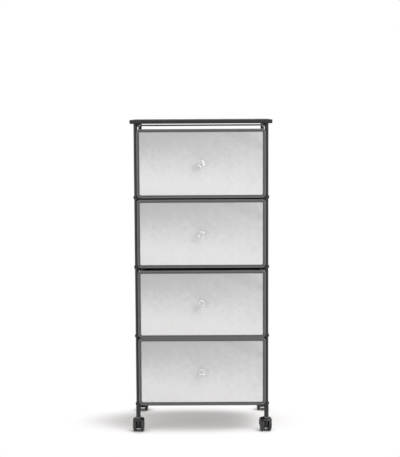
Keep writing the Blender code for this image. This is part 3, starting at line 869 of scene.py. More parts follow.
def post_mesh(y):
    """Tube post with eased ends, at X = 0."""
    ease = 0.0004
    inner = POST_RADIUS - cart_sizes().tube_wall
    profile = [
        (inner, LADDER_LOW.z),
        (POST_RADIUS - ease, LADDER_LOW.z),
        (POST_RADIUS, LADDER_LOW.z + ease),
        (POST_RADIUS, LADDER_HIGH.z - ease),
        (POST_RADIUS - ease, LADDER_HIGH.z),
        (inner, LADDER_HIGH.z),
    ]
    return moved(turned("post", profile, sides=40, loop=True), Matrix.Translation((0.0, y, 0.0)))


def rail_mesh(height):
    """Rail between the front and the rear post at X = 0, with a weld bead round each end."""
    sides = 28
    bead = cart_sizes().weld_bead
    ends = {}
    for post_y, side in ((POST_FRONT_Y, 1), (POST_REAR_Y, -1)):
        ends[side] = []
        for x, z in circle(RAIL_RADIUS, sides):
            reach = math.sqrt(POST_RADIUS ** 2 - x * x) - SEAT_GAP
            ends[side].append((x, post_y + side * reach, height + z))
    bm = bmesh.new()
    skin(bm, [ends[1], ends[-1]])
    for side, ring in ends.items():
        sections = []
        for step, ((x, y, z), (away_x, away_z)) in enumerate(zip(ring, circle(1.0, sides))):
            swell = bead * (1 + 0.12 * math.sin(step * 2.9))
            section = []
            for out, along in circle(swell, 8):
                section.append((x + out * away_x, y + side * (along + SEAT_GAP), z + out * away_z))
            sections.append(section)
        skin(bm, sections, loop=True)
    return finished("rail", bm)


def ladder_mesh(name, x):
    """Welded side frame: two posts and the rails between them."""
    heights = [LADDER_HIGH.z - RAIL_RADIUS - TOP_RAIL_DROP]
    for drawer in DRAWERS:
        heights.append(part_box(f"front_bar_{drawer}")[1].z + RAIL_OVER_BAR + RAIL_RADIUS)
    meshes = [post_mesh(POST_FRONT_Y), post_mesh(POST_REAR_Y)]
    meshes.extend(rail_mesh(height) for height in heights)
    return moved(joined(name, meshes), Matrix.Translation((x, 0.0, 0.0)))


def cross_bar_mesh(node, flare=0.0):
    """Round or oval tube between two posts, its ends cut to the posts' curve and flared below."""
    low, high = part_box(node)
    middle = (low + high) / 2
    half = (high - low) / 2
    wall = cart_sizes().tube_wall

    def ring(inset, side, inward=0.0, drop=0.0):
        points = []
        for across, upward in circle(1.0, 32):
            y = across * (half.y - inset)
            reach = POST_X - math.sqrt((POST_RADIUS + SEAT_GAP) ** 2 - y * y) - inward
            z = middle.z + upward * (half.z - inset) + min(upward, 0.0) * drop
            points.append((side * reach, middle.y + y, z))
        return points

    def flared_end(side):
        shares = (0.0, 0.2, 0.4, 0.6, 0.8, 1.0)
        return [ring(0.0, side, share * BAR_END_LENGTH, flare * (1 - share) ** 2) for share in shares]

    outside = flared_end(-1) + flared_end(1)[::-1]
    return lofted(node, [*outside, ring(wall, 1), ring(wall, -1)], loop=True)


def bolt_mesh():
    """Low domed bolt head with a six-sided socket, its seat at Z = 0."""
    sides = 24
    radius = cart_sizes().bolt_head / 2
    rise = cart_sizes().bolt_rise
    socket = 0.0021
    socket_floor = rise - 0.0014
    under_seat = -0.0009
    profile = [
        (0.0001, socket_floor),
        (socket, socket_floor),
        (socket, rise - 0.0002),
        (socket + 0.0003, rise),
        (radius * 0.66, rise * 0.93),
        (radius * 0.86, rise * 0.72),
        (radius * 0.97, rise * 0.40),
        (radius, rise * 0.12),
        (radius, under_seat),
        (radius * 0.5, under_seat),
    ]
    rings = turned_rings(profile, sides)
    half_flat = math.radians(30)
    for ring in rings[1:3]:
        for step, (x, y, z) in enumerate(ring):
            turn = math.tau * step / sides % (2 * half_flat) - half_flat
            flat = math.cos(half_flat) / math.cos(turn)
            ring[step] = (x * flat, y * flat, z)
    return lofted("bolt_head", rings)


def screw_mesh():
    """Pan head of a board screw with a cross recess hinted by a dish, its seat at Z = 0."""
    profile = [
        (0.0001, 0.0009),
        (0.0009, 0.0011),
        (0.0016, 0.0021),
        (0.0026, 0.0020),
        (0.0034, 0.0014),
        (0.0037, 0.0004),
        (0.0036, -0.0006),
        (0.0010, -0.0006),
    ]
    return turned("board_screw", profile, sides=20)


class CART_OT_top_board(bpy.types.Operator):
    """Make the top board with rounded edges and its laminate finish"""

    bl_idname = "cart.make_top_board"
    bl_label = "Top Board"
    bl_options = {"REGISTER", "UNDO"}

    def execute(self, context):
        centre = (BOARD_LOW + BOARD_HIGH) / 2
        half = (BOARD_HIGH - BOARD_LOW) / 2
        edge = cart_sizes().board_edge
        radii = [cart_sizes().board_corner] * 4
        points, normals, _ = outline(half.x, half.y, radii, step=0.05, corner_steps=8)
        levels = [(out - edge, BOARD_LOW.z + edge + up) for out, up in rounded_edge(edge, 5, -90, 0)]
        levels += [(out - edge, BOARD_HIGH.z - edge + up) for out, up in rounded_edge(edge, 5, 0, 90)]
        rings = []
        for offset, height in levels:
            ring = points + normals * offset
            rings.append([(x + centre.x, y + centre.y, height) for x, y in ring])
        mesh = lofted("laminate_top", rings)
        add_piece("laminate_top", mesh, "frame", laminate_finish(), ["top_board"])
        return {"FINISHED"}


class CART_OT_frame_tubes(bpy.types.Operator):
    """Make the welded side frames, the cross bars and the thin rear rod"""

    bl_idname = "cart.make_frame_tubes"
    bl_label = "Frame Tubes"
    bl_options = {"REGISTER", "UNDO"}

    def execute(self, context):
        coat = powder_coat_finish("black_powder_coat", cart_colours().powder_coat)
        grey = powder_coat_finish("grey_powder_coat", cart_colours().rod_coat)
        for side, x in (("left", -POST_X), ("right", POST_X)):
            mesh = ladder_mesh(f"ladder_{side}", x)
            add_piece(f"ladder_{side}", mesh, "frame", coat, [f"side_frame_{side}"])
        nodes = [f"{place}_bar_{drawer}" for place in ("front", "rear") for drawer in DRAWERS]
        for node in nodes:
            mesh = cross_bar_mesh(node, BAR_END_FLARE)
            add_piece(f"tube_{node}", mesh, "frame", coat, [node])
        node = "rear_top_rod"
        add_piece(f"tube_{node}", cross_bar_mesh(node), "frame", grey, [node])
        return {"FINISHED"}


class CART_OT_fasteners(bpy.types.Operator):
    """Make the bolt heads on the posts and the screws under the top board"""

    bl_idname = "cart.make_fasteners"
    bl_label = "Bolts and Screws"
    bl_options = {"REGISTER", "UNDO"}

    def execute(self, context):
        coat = moulded_finish("black_oxide_bolt", 1.1, 0.34)
        bolts = []
        for drawer in DRAWERS:
            low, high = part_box(f"front_bar_{drawer}")
            height = (low.z + high.z) / 2
            for side in (-1, 1):
                for y in (POST_FRONT_Y, POST_REAR_Y):
                    bolts.append(((side * (POST_X + POST_RADIUS), y, height), (side, 0.0, 0.0)))
        mesh = fastened("post_bolts", bolts, bolt_mesh(), coat)
        add_piece("post_bolts", mesh, "frame", coat)
        zinc = zinc_finish()
        screws = []
        under = LADDER_HIGH.z - 2 * RAIL_RADIUS - TOP_RAIL_DROP
        for side in (-1, 1):
            for y in (POST_FRONT_Y + SCREW_INSET, POST_REAR_Y - SCREW_INSET):
                screws.append(((side * POST_X, y, under), (0.0, 0.0, -1.0)))
        mesh = fastened("board_screws", screws, screw_mesh(), zinc)
        add_piece("board_screws", mesh, "frame", zinc)
        return {"FINISHED"}


# Legs and casters


def sleeve_mesh(node):
    """Leg sleeve with a rounded lip round its mouth, in its node's place."""
    low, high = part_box(node)
    middle = (low + high) / 2
    radius = (high.x - low.x) / 2
    mouth = POST_RADIUS + SEAT_GAP / 2
    shank = radius - 0.0004
    profile = [
        (STEM_BORE, low.z),
        (radius - 0.0008, low.z),
        (radius - 0.0002, low.z + 0.0003),
        (radius, low.z + 0.0010),
        (radius - 0.0002, low.z + 0.0026),
        (shank, low.z + 0.0040),
        (shank, high.z - 0.0046),
        (radius - 0.0002, high.z - 0.0036),
        (radius, high.z - 0.0028),
        (radius, high.z - 0.0009),
        (radius - 0.0003, high.z - 0.0003),
        (mouth + 0.0004, high.z),
        (mouth, high.z - 0.0005),
        (mouth, high.z - SLEEVE_DEPTH),
        (STEM_BORE, high.z - SLEEVE_DEPTH),
    ]
    mesh = turned("leg_sleeve", profile, sides=48, loop=True)
    return moved(mesh, Matrix.Translation((middle.x, middle.y, 0.0)))


def stem_mesh(node):
    """Caster stem: a pin with a chamfered end and a bright flange, in its node's place."""
    low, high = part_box(node)
    middle = (low + high) / 2
    pin = 0.004
    chamfer = 0.0006
    flange = (high.x - low.x) / 2
    flange_ease = 0.0004
    flange_height = 0.0015
    flange_low = CASTER_PIVOT_Z + SEAT_GAP
    flange_high = flange_low + flange_height
    profile = [
        (pin - chamfer, low.z),
        (pin, low.z + chamfer),
        (pin, flange_low),
        (flange - flange_ease, flange_low),
        (flange, flange_low + flange_ease),
        (flange, flange_high - flange_ease),
        (flange - flange_ease, flange_high),
        (pin, flange_high),
        (pin, high.z - chamfer),
        (pin - chamfer, high.z),
    ]
    mesh = turned("caster_stem", profile, sides=40)
    return moved(mesh, Matrix.Translation((middle.x, middle.y, 0.0)))


def around_axle(radius, degrees):
    """Place in a caster's side view, at an angle up from the trailing side of the axle."""
    angle = math.radians(degrees)
    return (CASTER_TRAIL + radius * math.cos(angle), WHEEL_RADIUS + radius * math.sin(angle))


def hood_mesh():
    """Crowned mudguard over both wheels, swept round the axle, in the caster's own frame."""
    half_steps = 9
    sweep_steps = 44
    xs = [HOOD_HALF * step / half_steps for step in range(-half_steps, half_steps + 1)]
    outer = [(x, HOOD_OUTER - HOOD_CROWN * abs(x / HOOD_HALF) ** 2.4) for x in xs]
    inner = [(x, min(HOOD_INNER, radius - HOOD_WALL)) for x, radius in reversed(outer[1:-1])]
    rings = []
    for step in range(sweep_steps + 1):
        degrees = HOOD_START + HOOD_SWEEP * step / sweep_steps
        rings.append([(x, *around_axle(radius, degrees)) for x, radius in outer + inner])
    return lofted("hood", rings)


def web_mesh():
    """Disc between the wheels, up into the hood and forward to the stem in a round nose."""
    front = -WHEEL_INNER_X
    back = CASTER_TRAIL + HOOD_OUTER
    side_view = [(front, CASTER_PIVOT_Z - NOSE_DEPTH), (front, CASTER_PIVOT_Z), (WEB_HALF, CASTER_PIVOT_Z)]
    side_view.extend(around_axle(HOOD_OUTER - HOOD_BURIED, 90 - 75 * step / 10) for step in range(11))
    side_view.extend(around_axle(WEB_DISC, -20 - 140 * step / 28) for step in range(29))
    web = lofted("web", [[(x, y, z) for y, z in side_view] for x in (-WHEEL_INNER_X, WHEEL_INNER_X)])
    plan = rounded_edge(WEB_HALF, 24, 180, 360) + [(WEB_HALF, back), (-WEB_HALF, back)]
    plan = lofted("nose_plan", [[(x, y, z) for x, y in plan] for z in (0.0, 2 * CASTER_PIVOT_Z)])
    return combined("web", web, [("INTERSECT", plan)])


def bore_mesh(name, radius, length):
    """Plain round cutter along Z."""
    return turned(name, [(radius, -length / 2), (radius, length / 2)], sides=32)


def housing_mesh():
    """Caster housing in its own frame: hood, web and nose in one moulding, bored for stem and axle."""
    axle = bore_mesh("axle_bore", AXLE_BORE, 2 * WHEEL_OUTER_X)
    axle = moved(axle, AXLE_PLACE @ Matrix.Rotation(QUARTER_TURN, 4, "Y"))
    stem_bore_length = 0.028
    stem = bore_mesh("stem_bore", STEM_BORE, stem_bore_length)
    stem = moved(stem, Matrix.Translation((0.0, 0.0, CASTER_PIVOT_Z)))
    steps = (("UNION", web_mesh()), ("DIFFERENCE", axle), ("DIFFERENCE", stem))
    return combined("caster_housing", hood_mesh(), steps, HOUSING_EASE)


def wheel_mesh(side):
    """Wheel about the axle: a domed face with a hub cap and a fine groove, round edges and a tread."""
    outer = WHEEL_OUTER_X
    radius = WHEEL_RADIUS
    rim = radius - WHEEL_EDGE
    cap = WHEEL_HUB - 0.0010
    sunk = outer - WHEEL_GROOVE_DEPTH
    profile = [(0.0006, outer), (cap - 0.0004, outer), (cap, sunk), (WHEEL_HUB - 0.0003, sunk)]
    groove = (0.72, 0.76)
    for share in (0.0, 0.2, 0.4, 0.6, 0.70, *groove, 0.78, 0.9):
        face = sunk if share in groove else outer
        profile.append((WHEEL_HUB + (rim - WHEEL_HUB) * share, face - WHEEL_DOME * share ** 2))
    for across, outward in rounded_edge(WHEEL_EDGE, 8, 90, 0):
        profile.append((rim + across, outer - WHEEL_DOME - WHEEL_EDGE + outward))
    inner_face = (
        (radius, 0.0010),
        (radius - 0.0002, 0.0003),
        (radius - 0.0008, 0.0),
        (0.0150, 0.0),
        (0.0140, 0.0012),
        (0.0080, 0.0012),
        (0.0070, 0.0),
        (AXLE_BORE, 0.0),
        (AXLE_BORE, 0.0063),
    )
    profile.extend((distance, WHEEL_INNER_X + depth) for distance, depth in inner_face)
    mesh = turned("caster_wheel", profile, sides=64)
    distances = [vertex.co.xy.length for vertex in mesh.vertices]
    marked(mesh, "tread", [smoothstep(radius - 0.0022, radius - 0.0003, value) for value in distances])
    return moved(mesh, AXLE_PLACE @ Matrix.Rotation(side * QUARTER_TURN, 4, "Y"))


def caster_matrix(corner):
    """Where a caster's own frame stands: its pivot, and the angle that it has swivelled to."""
    pivot = JOINTS[f"swivel_{corner}"]["pos_m"]
    axis = JOINTS[f"roll_{corner}"]["axis"]
    turn = Matrix.Rotation(math.atan2(axis[1], axis[0]), 4, "Z")
    return Matrix.Translation((pivot[0], pivot[1], 0.0)) @ turn


class CART_OT_casters(bpy.types.Operator):
    """Make the leg sleeves, stems, caster housings and wheels"""

    bl_idname = "cart.make_casters"
    bl_label = "Legs and Casters"
    bl_options = {"REGISTER", "UNDO"}

    def execute(self, context):
        sleeve = moulded_finish("black_leg_sleeve", 1.15, 0.42)
        nylon = moulded_finish("black_caster_nylon", 1.0, 0.40)
        tyre = wheel_finish()
        zinc = zinc_finish()
        housing = housing_mesh()
        for corner in CORNERS:
            node = f"leg_sleeve_{corner}"
            add_piece(f"socket_{corner}", sleeve_mesh(node), "frame", sleeve, [node])
            node = f"caster_stem_{corner}"
            add_piece(f"stem_{corner}", stem_mesh(node), "frame", zinc, [node])
            place = caster_matrix(corner)
            mesh = moved(housing.copy(), place)
            node = f"caster_housing_{corner}"
            add_piece(f"hood_{corner}", mesh, f"caster_{corner}", nylon, [node])
            for name, side in (("left", -1), ("right", 1)):
                mesh = moved(wheel_mesh(side), place)
                node = f"caster_wheel_{name}_{corner}"
                add_piece(f"wheel_{name}_{corner}", mesh, f"wheels_{corner}", tyre, [node])
            dress_node(f"caster_axle_{corner}", zinc)
        return {"FINISHED"}


# Drawers


class BinShape:
    """Soft walls of one drawer's bin: its plan outline, and how its cloth bows and wrinkles."""

    def __init__(self, drawer):
        sizes = cart_sizes()
        self.drawer = drawer
        self.low, self.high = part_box(f"drawer_bin_{drawer}")
        self.middle = (self.low + self.high) / 2
        self.half = (self.high - self.low) / 2
        self.bow = sizes.bin_bow
        self.wrinkle = sizes.bin_wrinkle
        self.hem_low = self.high.z - sizes.hem_height
        radii = [sizes.bin_corner] * 4
        plan = outline(self.half.x, self.half.y, radii, step=0.008, corner_steps=8)
        self.points, self.normals, self.distance = plan

    def drift(self, index, height):
        """How far the cloth lies outside its flat wall at a column and height."""
        x, y = self.points[index]
        normal_x, normal_y = self.normals[index]
        share = x / self.half.x if abs(normal_y) > abs(normal_x) else y / self.half.y
        level = (height - self.low.z) / (self.high.z - self.low.z)
        free = smoothstep(0.06, 0.55, level)
        firm = 1.0 - 0.70 * smoothstep(0.84, 0.97, level)
        inward = -self.bow * (1 - share * share) ** 1.5 * free * firm
        along = self.distance[index]
        seed = self.drawer * 7.31
        soft = smoothstep(0.05, 0.22, level) * (1.0 - 0.7 * smoothstep(0.84, 0.95, level))
        broad = soft_noise(along * 16, height * 9, seed)
        fine = soft_noise(along * 37, height * 21, seed + 3)
        corner = smoothstep(0.70, 0.96, abs(share))
        pull = 0.5 * corner * math.sin(height * 95 + along * 60 + seed)
        drift = inward + self.wrinkle * soft * (0.75 * (broad + 0.55 * fine) + pull)
        if normal_y < -0.3:
            drift = min(0.0, 0.3 * drift)
        return max(-1.6 * self.bow, min(0.0014, drift))

    def ring(self, height, inset):
        """Loop of points at a height, set in from the wall's outer side."""
        points = []
        for index, (point, normal) in enumerate(zip(self.points, self.normals)):
            x, y = point + normal * (self.drift(index, height) - inset)
            points.append((x + self.middle.x, y + self.middle.y, height))
        return points


def bin_mesh(shape):
    """Open-topped bin: soft bottom edge, walls, rounded rim, hem inside the rim, and an inner floor."""
    wall = cart_sizes().cloth_wall
    hem = wall + HEM_EXTRA
    hem_low = shape.hem_low
    bottom = 0.004
    wall_low = shape.low.z + bottom
    floor = shape.low.z + wall
    floor_edge = 0.002
    seam_high = hem_low + 0.0026
    rim_low = shape.high.z - RIM_HEIGHT
    hem_foot = hem_low - 0.0016
    rows = [(wall_low + up, bottom - out) for out, up in rounded_edge(bottom, 4, -90, 0)]
    rows += [(height, 0.0) for height in spread(wall_low, hem_low, 34)]
    rows += [(hem_low + 0.0012, 0.0005), (seam_high, 0.0001)]
    rows += [(height, 0.0) for height in spread(seam_high, rim_low, 4)]
    for degrees in spread(0, 150, 5):
        angle = math.radians(degrees)
        rows.append((rim_low + RIM_HEIGHT * math.sin(angle), hem / 2 * (1 - math.cos(angle))))
    rows.append((rim_low, hem))
    rows += [(height, hem) for height in spread(rim_low, hem_low, 4)]
    rows += [(hem_low - 0.0008, hem - 0.0004), (hem_foot, wall)]
    rows += [(height, wall) for height in spread(hem_foot, floor + floor_edge, 30)]
    rows += [(floor + 0.0006, wall + 0.0006), (floor, wall + floor_edge)]
    rings = [shape.ring(height, inset) for height, inset in rows]
    return lofted("cloth_bin", rings, around=shape.distance, along=running_length(rows))


class CART_OT_bins(bpy.types.Operator):
    """Make the soft cloth bins with their sewn hems, and finish the loose base boards"""

    bl_idname = "cart.make_bins"
    bl_label = "Cloth Bins"
    bl_options = {"REGISTER", "UNDO"}

    def execute(self, context):
        cloth = bin_cloth_finish()
        thread = thread_finish()
        board = base_board_finish()
        inside = cart_sizes().cloth_wall + HEM_EXTRA
        thread_sink = 0.0001
        seam_rise = 0.0030
        for drawer in DRAWERS:
            shape = BinShape(drawer)
            body = f"drawer_{drawer}"
            node = f"drawer_bin_{drawer}"
            add_piece(f"cloth_bin_{drawer}", bin_mesh(shape), body, cloth, [node])
            seam = shape.hem_low + seam_rise
            paths = [shape.ring(seam, -thread_sink), shape.ring(seam, inside + thread_sink)]
            mesh = sewn(f"hem_stitches_{drawer}", paths, thread)
            add_piece(f"hem_stitches_{drawer}", mesh, body, thread)
            dress_node(f"drawer_base_{drawer}", board)
        return {"FINISHED"}


class FrontShape:
    """One drawer's front: its outline, and the places of its board's two faces."""

    def __init__(self, drawer):
        self.drawer = drawer
        self.low, self.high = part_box(f"drawer_front_{drawer}")
        self.middle = (self.low + self.high) / 2
        self.half = (self.high - self.low) / 2
        edge = outline(self.half.x, self.half.z, FRONT_RADII, step=0.006, corner_steps=10)
        self.points, self.normals, self.distance = edge

    def spot(self, across, upward, depth):
        """Point of the front from its middle, at a depth."""
        return (self.middle.x + across, depth, self.middle.z + upward)

    def ring(self, offset, depth):
        """Loop round the outline, moved outward by an offset, at a depth."""
        return [self.spot(x, z, depth) for x, z in self.points + self.normals * offset]

    def swell(self, across, upward):
        """How far the cloth stands out of the board's face."""
        x = min(1.0, abs(across) / self.half.x)
        z = min(1.0, abs(upward) / self.half.z)
        crown = (1 - x ** 4) * (1 - z ** 4)
        ripple = 0.25 * soft_noise(across * 14, upward * 14, self.drawer * 3.7)
        return cart_sizes().front_crown * crown * (0.75 + ripple)


def front_mesh(shape):
    """Stiff front: cloth over board, its face crowned a little."""
    face = shape.low.y
    back = shape.high.y
    face_inset = 0.0005
    shares = [0.0, 0.015, 0.03, 0.05, *spread(0.05, 0.98, 22)]
    rings = [shape.ring(-FRONT_EASE, back)]
    rings += [shape.ring(0.0, back - FRONT_EASE), shape.ring(0.0, face + FRONT_EASE)]
    for share in shares:
        ring = []
        for x, z in (shape.points - shape.normals * face_inset) * (1 - share):
            ring.append(shape.spot(x, z, face - shape.swell(x, z)))
        rings.append(ring)
    bm = bmesh.new()
    layer = bm.loops.layers.uv.new("cloth")
    skin(bm, rings)
    for polygon in bm.faces:
        for corner in polygon.loops:
            corner[layer].uv = (corner.vert.co.x - shape.middle.x, corner.vert.co.z - shape.middle.z)
    return finished("cloth_front", bm)


class CART_OT_fronts(bpy.types.Operator):
    """Make the stiff cloth fronts"""

    bl_idname = "cart.make_fronts"
    bl_label = "Cloth Fronts"
    bl_options = {"REGISTER", "UNDO"}

    def execute(self, context):
        first = FrontShape(DRAWERS[0])
        cloth = front_cloth_finish(first.half.x, first.half.z)
        for drawer in DRAWERS:
            mesh = front_mesh(FrontShape(drawer))
            node = f"drawer_front_{drawer}"
            add_piece(f"cloth_front_{drawer}", mesh, f"drawer_{drawer}", cloth, [node])
        return {"FINISHED"}


def tape_section(shape, low_y, high_y):
    """Section of the folded tape: (offset from the board's edge, depth), round a closed loop."""
    lip = cart_sizes().tape_lip
    front_in = shape.low.y - SEAT_GAP
    back_in = shape.high.y + SEAT_GAP
    edge = front_in - low_y + SEAT_GAP
    middle = (low_y + high_y) / 2
    half = (high_y - low_y) / 2
    selvage = -lip - 0.0003
    section = [(-lip, front_in), (selvage, (front_in + low_y) / 2), (-lip + 0.0001, low_y + 0.0002)]
    section += [(-lip * 0.82, low_y), (-lip * 0.5, low_y + 0.0001), (-lip * 0.2, low_y)]
    for step in range(9):
        angle = math.radians(-90 + 180 * step / 8)
        bulge = max(0.0, math.cos(angle)) ** 0.6
        depth = middle + half * math.copysign(abs(math.sin(angle)) ** 0.6, math.sin(angle))
        section.append((edge * bulge, depth))
    section += [(-lip * 0.2, high_y), (-lip * 0.8, high_y), (-lip, high_y - 0.0002)]
    section += [(selvage, (back_in + high_y) / 2), (-lip, back_in)]
    section += [(SEAT_GAP / 2, back_in), (SEAT_GAP / 2, front_in)]
    return section


def tape_mesh(shape):
    """Binding tape folded over the front's edge, a little puckered round the lower corners."""
    low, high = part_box(f"drawer_binding_{shape.drawer}")
    section = tape_section(shape, low.y, high.y)
    pucker_depth = 0.00016
    wander_width = 0.00012
    lip = cart_sizes().tape_lip
    rings = []
    fold_highlight = []
    for offset, depth in section:
        ring = []
        for index, (point, normal) in enumerate(zip(shape.points, shape.normals)):
            slant = min(abs(normal[0]), abs(normal[1]))
            pucker = pucker_depth * slant * math.sin(index * 2.2) if offset < 0 else 0.0
            wander = soft_noise(shape.distance[index] * 45, depth * 900, shape.drawer * 5.1)
            x, z = point + normal * (offset + wander_width * wander)
            ring.append(shape.spot(x, z, depth + pucker))
        rings.append(ring)
        # Share of painted highlight on each ring, rising from the tape's inner edge to its fold
        fold_highlight.extend([smoothstep(-0.8 * lip, -0.1 * lip, offset)] * len(ring))
    along = running_length(section + section[:1])
    mesh = lofted("tape_binding", rings, loop=True, around=shape.distance, along=along)
    return marked(mesh, "fold", fold_highlight)


class CART_OT_bindings(bpy.types.Operator):
    """Make the folded tape round each front, with its line of stitches"""

    bl_idname = "cart.make_bindings"
    bl_label = "Tape Bindings"
    bl_options = {"REGISTER", "UNDO"}

    def execute(self, context):
        tape = tape_finish()
        thread = thread_finish()
        seam_inset = 0.0016
        seam = cart_sizes().tape_lip - seam_inset
        for drawer in DRAWERS:
            shape = FrontShape(drawer)
            body = f"drawer_{drawer}"
            node = f"drawer_binding_{drawer}"
            add_piece(f"tape_binding_{drawer}", tape_mesh(shape), body, tape, [node])
            paths = [shape.ring(-seam, corner.y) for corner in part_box(node)]
            mesh = sewn(f"tape_stitches_{drawer}", paths, thread)
            add_piece(f"tape_stitches_{drawer}", mesh, body, thread)
        return {"FINISHED"}


def knob_mesh(base_y, tip_y, x, z, radius):
    """Clear knob: a foot on the cloth, a waist and a flattened ball."""
    length = base_y - tip_y
    half_head = 0.00725
    foot = 0.0065
    neck = 0.0045
    fillet = 0.0019
    waist = 0.0040
    bore = 0.0022
    profile = [(bore, 0.0), (foot - 0.0004, 0.0), (foot, 0.0004), (foot, 0.0014), (foot - 0.0005, 0.0019)]
    for out, up in rounded_edge(fillet, 5, -90, -180):
        profile.append((neck + fillet + out, waist + up))
    start = -math.acos(neck / radius)
    for step in range(15):
        angle = start + (math.radians(88) - start) * step / 14
        profile.append((radius * math.cos(angle), length - half_head + half_head * math.sin(angle)))
    mesh = turned("acrylic_knob", profile, sides=64)
    return moved(mesh, Matrix.Translation((x, base_y, z)) @ Matrix.Rotation(QUARTER_TURN, 4, "X"))


def stud_mesh(front_y, back_y, x, z, nut_y):
    """Steel stud from inside the knob through the front, with a washer and nut inside the bin."""
    length = back_y - front_y
    seat = nut_y - front_y
    stud = [(0.0016, 0.0), (0.0019, 0.0004), (0.0019, length - 0.0005), (0.0014, length)]
    washer = [(0.0021, 0.0), (0.0046, 0.0), (0.0046, 0.0007), (0.0021, 0.0007)]
    nut = [(0.0020, 0.0008), (0.0036, 0.0008), (0.0040, 0.0011)]
    nut += [(0.0040, 0.0027), (0.0036, 0.0030), (0.0020, 0.0030)]
    meshes = [turned("stud", stud, sides=20)]
    for name, profile, sides in (("washer", washer, 28), ("nut", nut, 6)):
        raised = [(radius, seat + rise) for radius, rise in profile]
        meshes.append(turned(name, raised, sides, loop=True))
    mesh = joined("knob_stud", meshes)
    return moved(mesh, Matrix.Translation((x, front_y, z)) @ Matrix.Rotation(-QUARTER_TURN, 4, "X"))


class CART_OT_knobs(bpy.types.Operator):
    """Make the clear knobs with their steel studs, washers and nuts"""

    bl_idname = "cart.make_knobs"
    bl_label = "Knobs"
    bl_options = {"REGISTER", "UNDO"}

    def execute(self, context):
        acrylic = acrylic_finish()
        zinc = zinc_finish()
        sizes = cart_sizes()
        stud_in_knob = 0.009
        nut_gap = 0.0005
        for drawer in DRAWERS:
            body = f"drawer_{drawer}"
            node = f"drawer_knob_{drawer}"
            low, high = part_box(node)
            x = (low.x + high.x) / 2
            z = (low.z + high.z) / 2
            radius = (high.x - low.x) / 2
            base_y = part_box(f"drawer_front_{drawer}")[0].y - sizes.front_crown
            mesh = knob_mesh(base_y, low.y, x, z, radius)
            add_piece(f"acrylic_knob_{drawer}", mesh, body, acrylic, [node])
            nut_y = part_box(f"drawer_bin_{drawer}")[0].y + sizes.cloth_wall + nut_gap
            mesh = stud_mesh(base_y - stud_in_knob, high.y, x, z, nut_y)
            add_piece(f"knob_stud_{drawer}", mesh, body, zinc)
        return {"FINISHED"}


# Stage


def stage_camera(stage):
    """Camera at the measured place, angle and focal length."""
    data = bpy.data.cameras.new("camera")
    data.sensor_width = 36.0
    data.lens = stage.focal * data.sensor_width
    camera = in_scene("camera", data)
    bpy.context.scene.camera = camera
    flat = math.cos(stage.pitch)
    forward = Vector((math.sin(stage.yaw) * flat, math.cos(stage.yaw) * flat, -math.sin(stage.pitch)))
    level = Vector((math.cos(stage.yaw), -math.sin(stage.yaw), 0.0))
    upright = level.cross(forward)
    right = math.cos(stage.roll) * level + math.sin(stage.roll) * upright
    up = math.cos(stage.roll) * upright - math.sin(stage.roll) * level
    turn = Matrix((right, up, -forward)).transposed().to_4x4()
    camera.matrix_world = Matrix.Translation(stage.camera) @ turn


def stage_lamp(name, place, target_height, size, power):
    """Square lamp that faces a point over the cart's middle."""
    data = bpy.data.lights.new(name, "AREA")
    data.size = size
    data.energy = power
    direction = Vector((0.0, 0.0, target_height)) - Vector(place)
    turn = direction.to_track_quat("-Z", "Y").to_matrix().to_4x4()
    in_scene(name, data).matrix_world = Matrix.Translation(place) @ turn


def seen_directly(tree):
    """1 for rays from the camera, a mirror or a clear body, and 0 for the light that falls on things."""
    path = tree.nodes.new("ShaderNodeLightPath")
    seen = path.outputs["Is Camera Ray"]
    for kind in ("Is Glossy Ray", "Is Transmission Ray"):
        either = tree.nodes.new("ShaderNodeMath")
        either.operation = "MAXIMUM"
        tree.links.new(seen, either.inputs[0])
        tree.links.new(path.outputs[kind], either.inputs[1])
        seen = either.outputs[0]
    return seen


def stage_world(stage):
    """White where it is seen, and an even light on the object."""
    world = bpy.data.worlds.new("studio")
    bpy.context.scene.world = world
    world.use_nodes = True
    tree = world.node_tree
    tree.nodes.clear()
    mixed = tree.nodes.new("ShaderNodeMixShader")
    tree.links.new(seen_directly(tree), mixed.inputs["Fac"])
    for socket, strength in ((1, stage.ambient), (2, 1.0)):
        light = tree.nodes.new("ShaderNodeBackground")
        light.inputs["Color"].default_value = WHITE
        light.inputs["Strength"].default_value = strength
        tree.links.new(light.outputs[0], mixed.inputs[socket])
    output = tree.nodes.new("ShaderNodeOutputWorld")
    tree.links.new(mixed.outputs[0], output.inputs["Surface"])


def floor_finish(white_share):
    """Pale floor that keeps the shadow near the cart and runs into the white background. Its camera-only
    white glow is painted light: weaker under the cart, where it lightens the rendered shadow and is tinted
    warm, and gone near the casters.
    """
    finish = Finish("pale_floor", Roughness=0.9)
    place = finish.place()
    finish.colour(finish.shades(finish.grain(place, 3.0, 2.0), cart_colours().floor, 0.99, 1.01))
    around = finish.node("ShaderNodeVectorMath", {0: place, 1: SHADOW_SHIFT}, "Vector", operation="ADD")
    around = finish.node("ShaderNodeVectorMath", {0: around, 1: SHADOW_HALF}, "Vector", operation="DIVIDE")
    away = finish.node("ShaderNodeVectorMath", {0: around}, "Value", operation="LENGTH")
    fade = finish.between(away, 0.72, 1.55, white_share, 1.0)
    # Painted light: the glow over the shadow patch is tinted warm
    tint = finish.blend(fade, SHADOW_TINT, WHITE)
    white = finish.node("ShaderNodeEmission", {"Color": tint}, "Emission")
    # Painted light: the glow fades out where the floor is closed in near the casters, so their rendered
    # contact shadows show
    clear = finish.node("ShaderNodeAmbientOcclusion", {"Distance": 0.05}, "AO", samples=8)
    fade = finish.times(fade, finish.between(clear, 0.42, 0.95, 0.0, 1.0))
    share = finish.times(fade, seen_directly(finish.tree))
    parts = {0: share, 1: finish.shader.outputs[0], 2: white}
    mixed = finish.node("ShaderNodeMixShader", parts, "Shader")
    finish.feed(finish.tree.nodes["Material Output"].inputs["Surface"], mixed)
    return finish.material


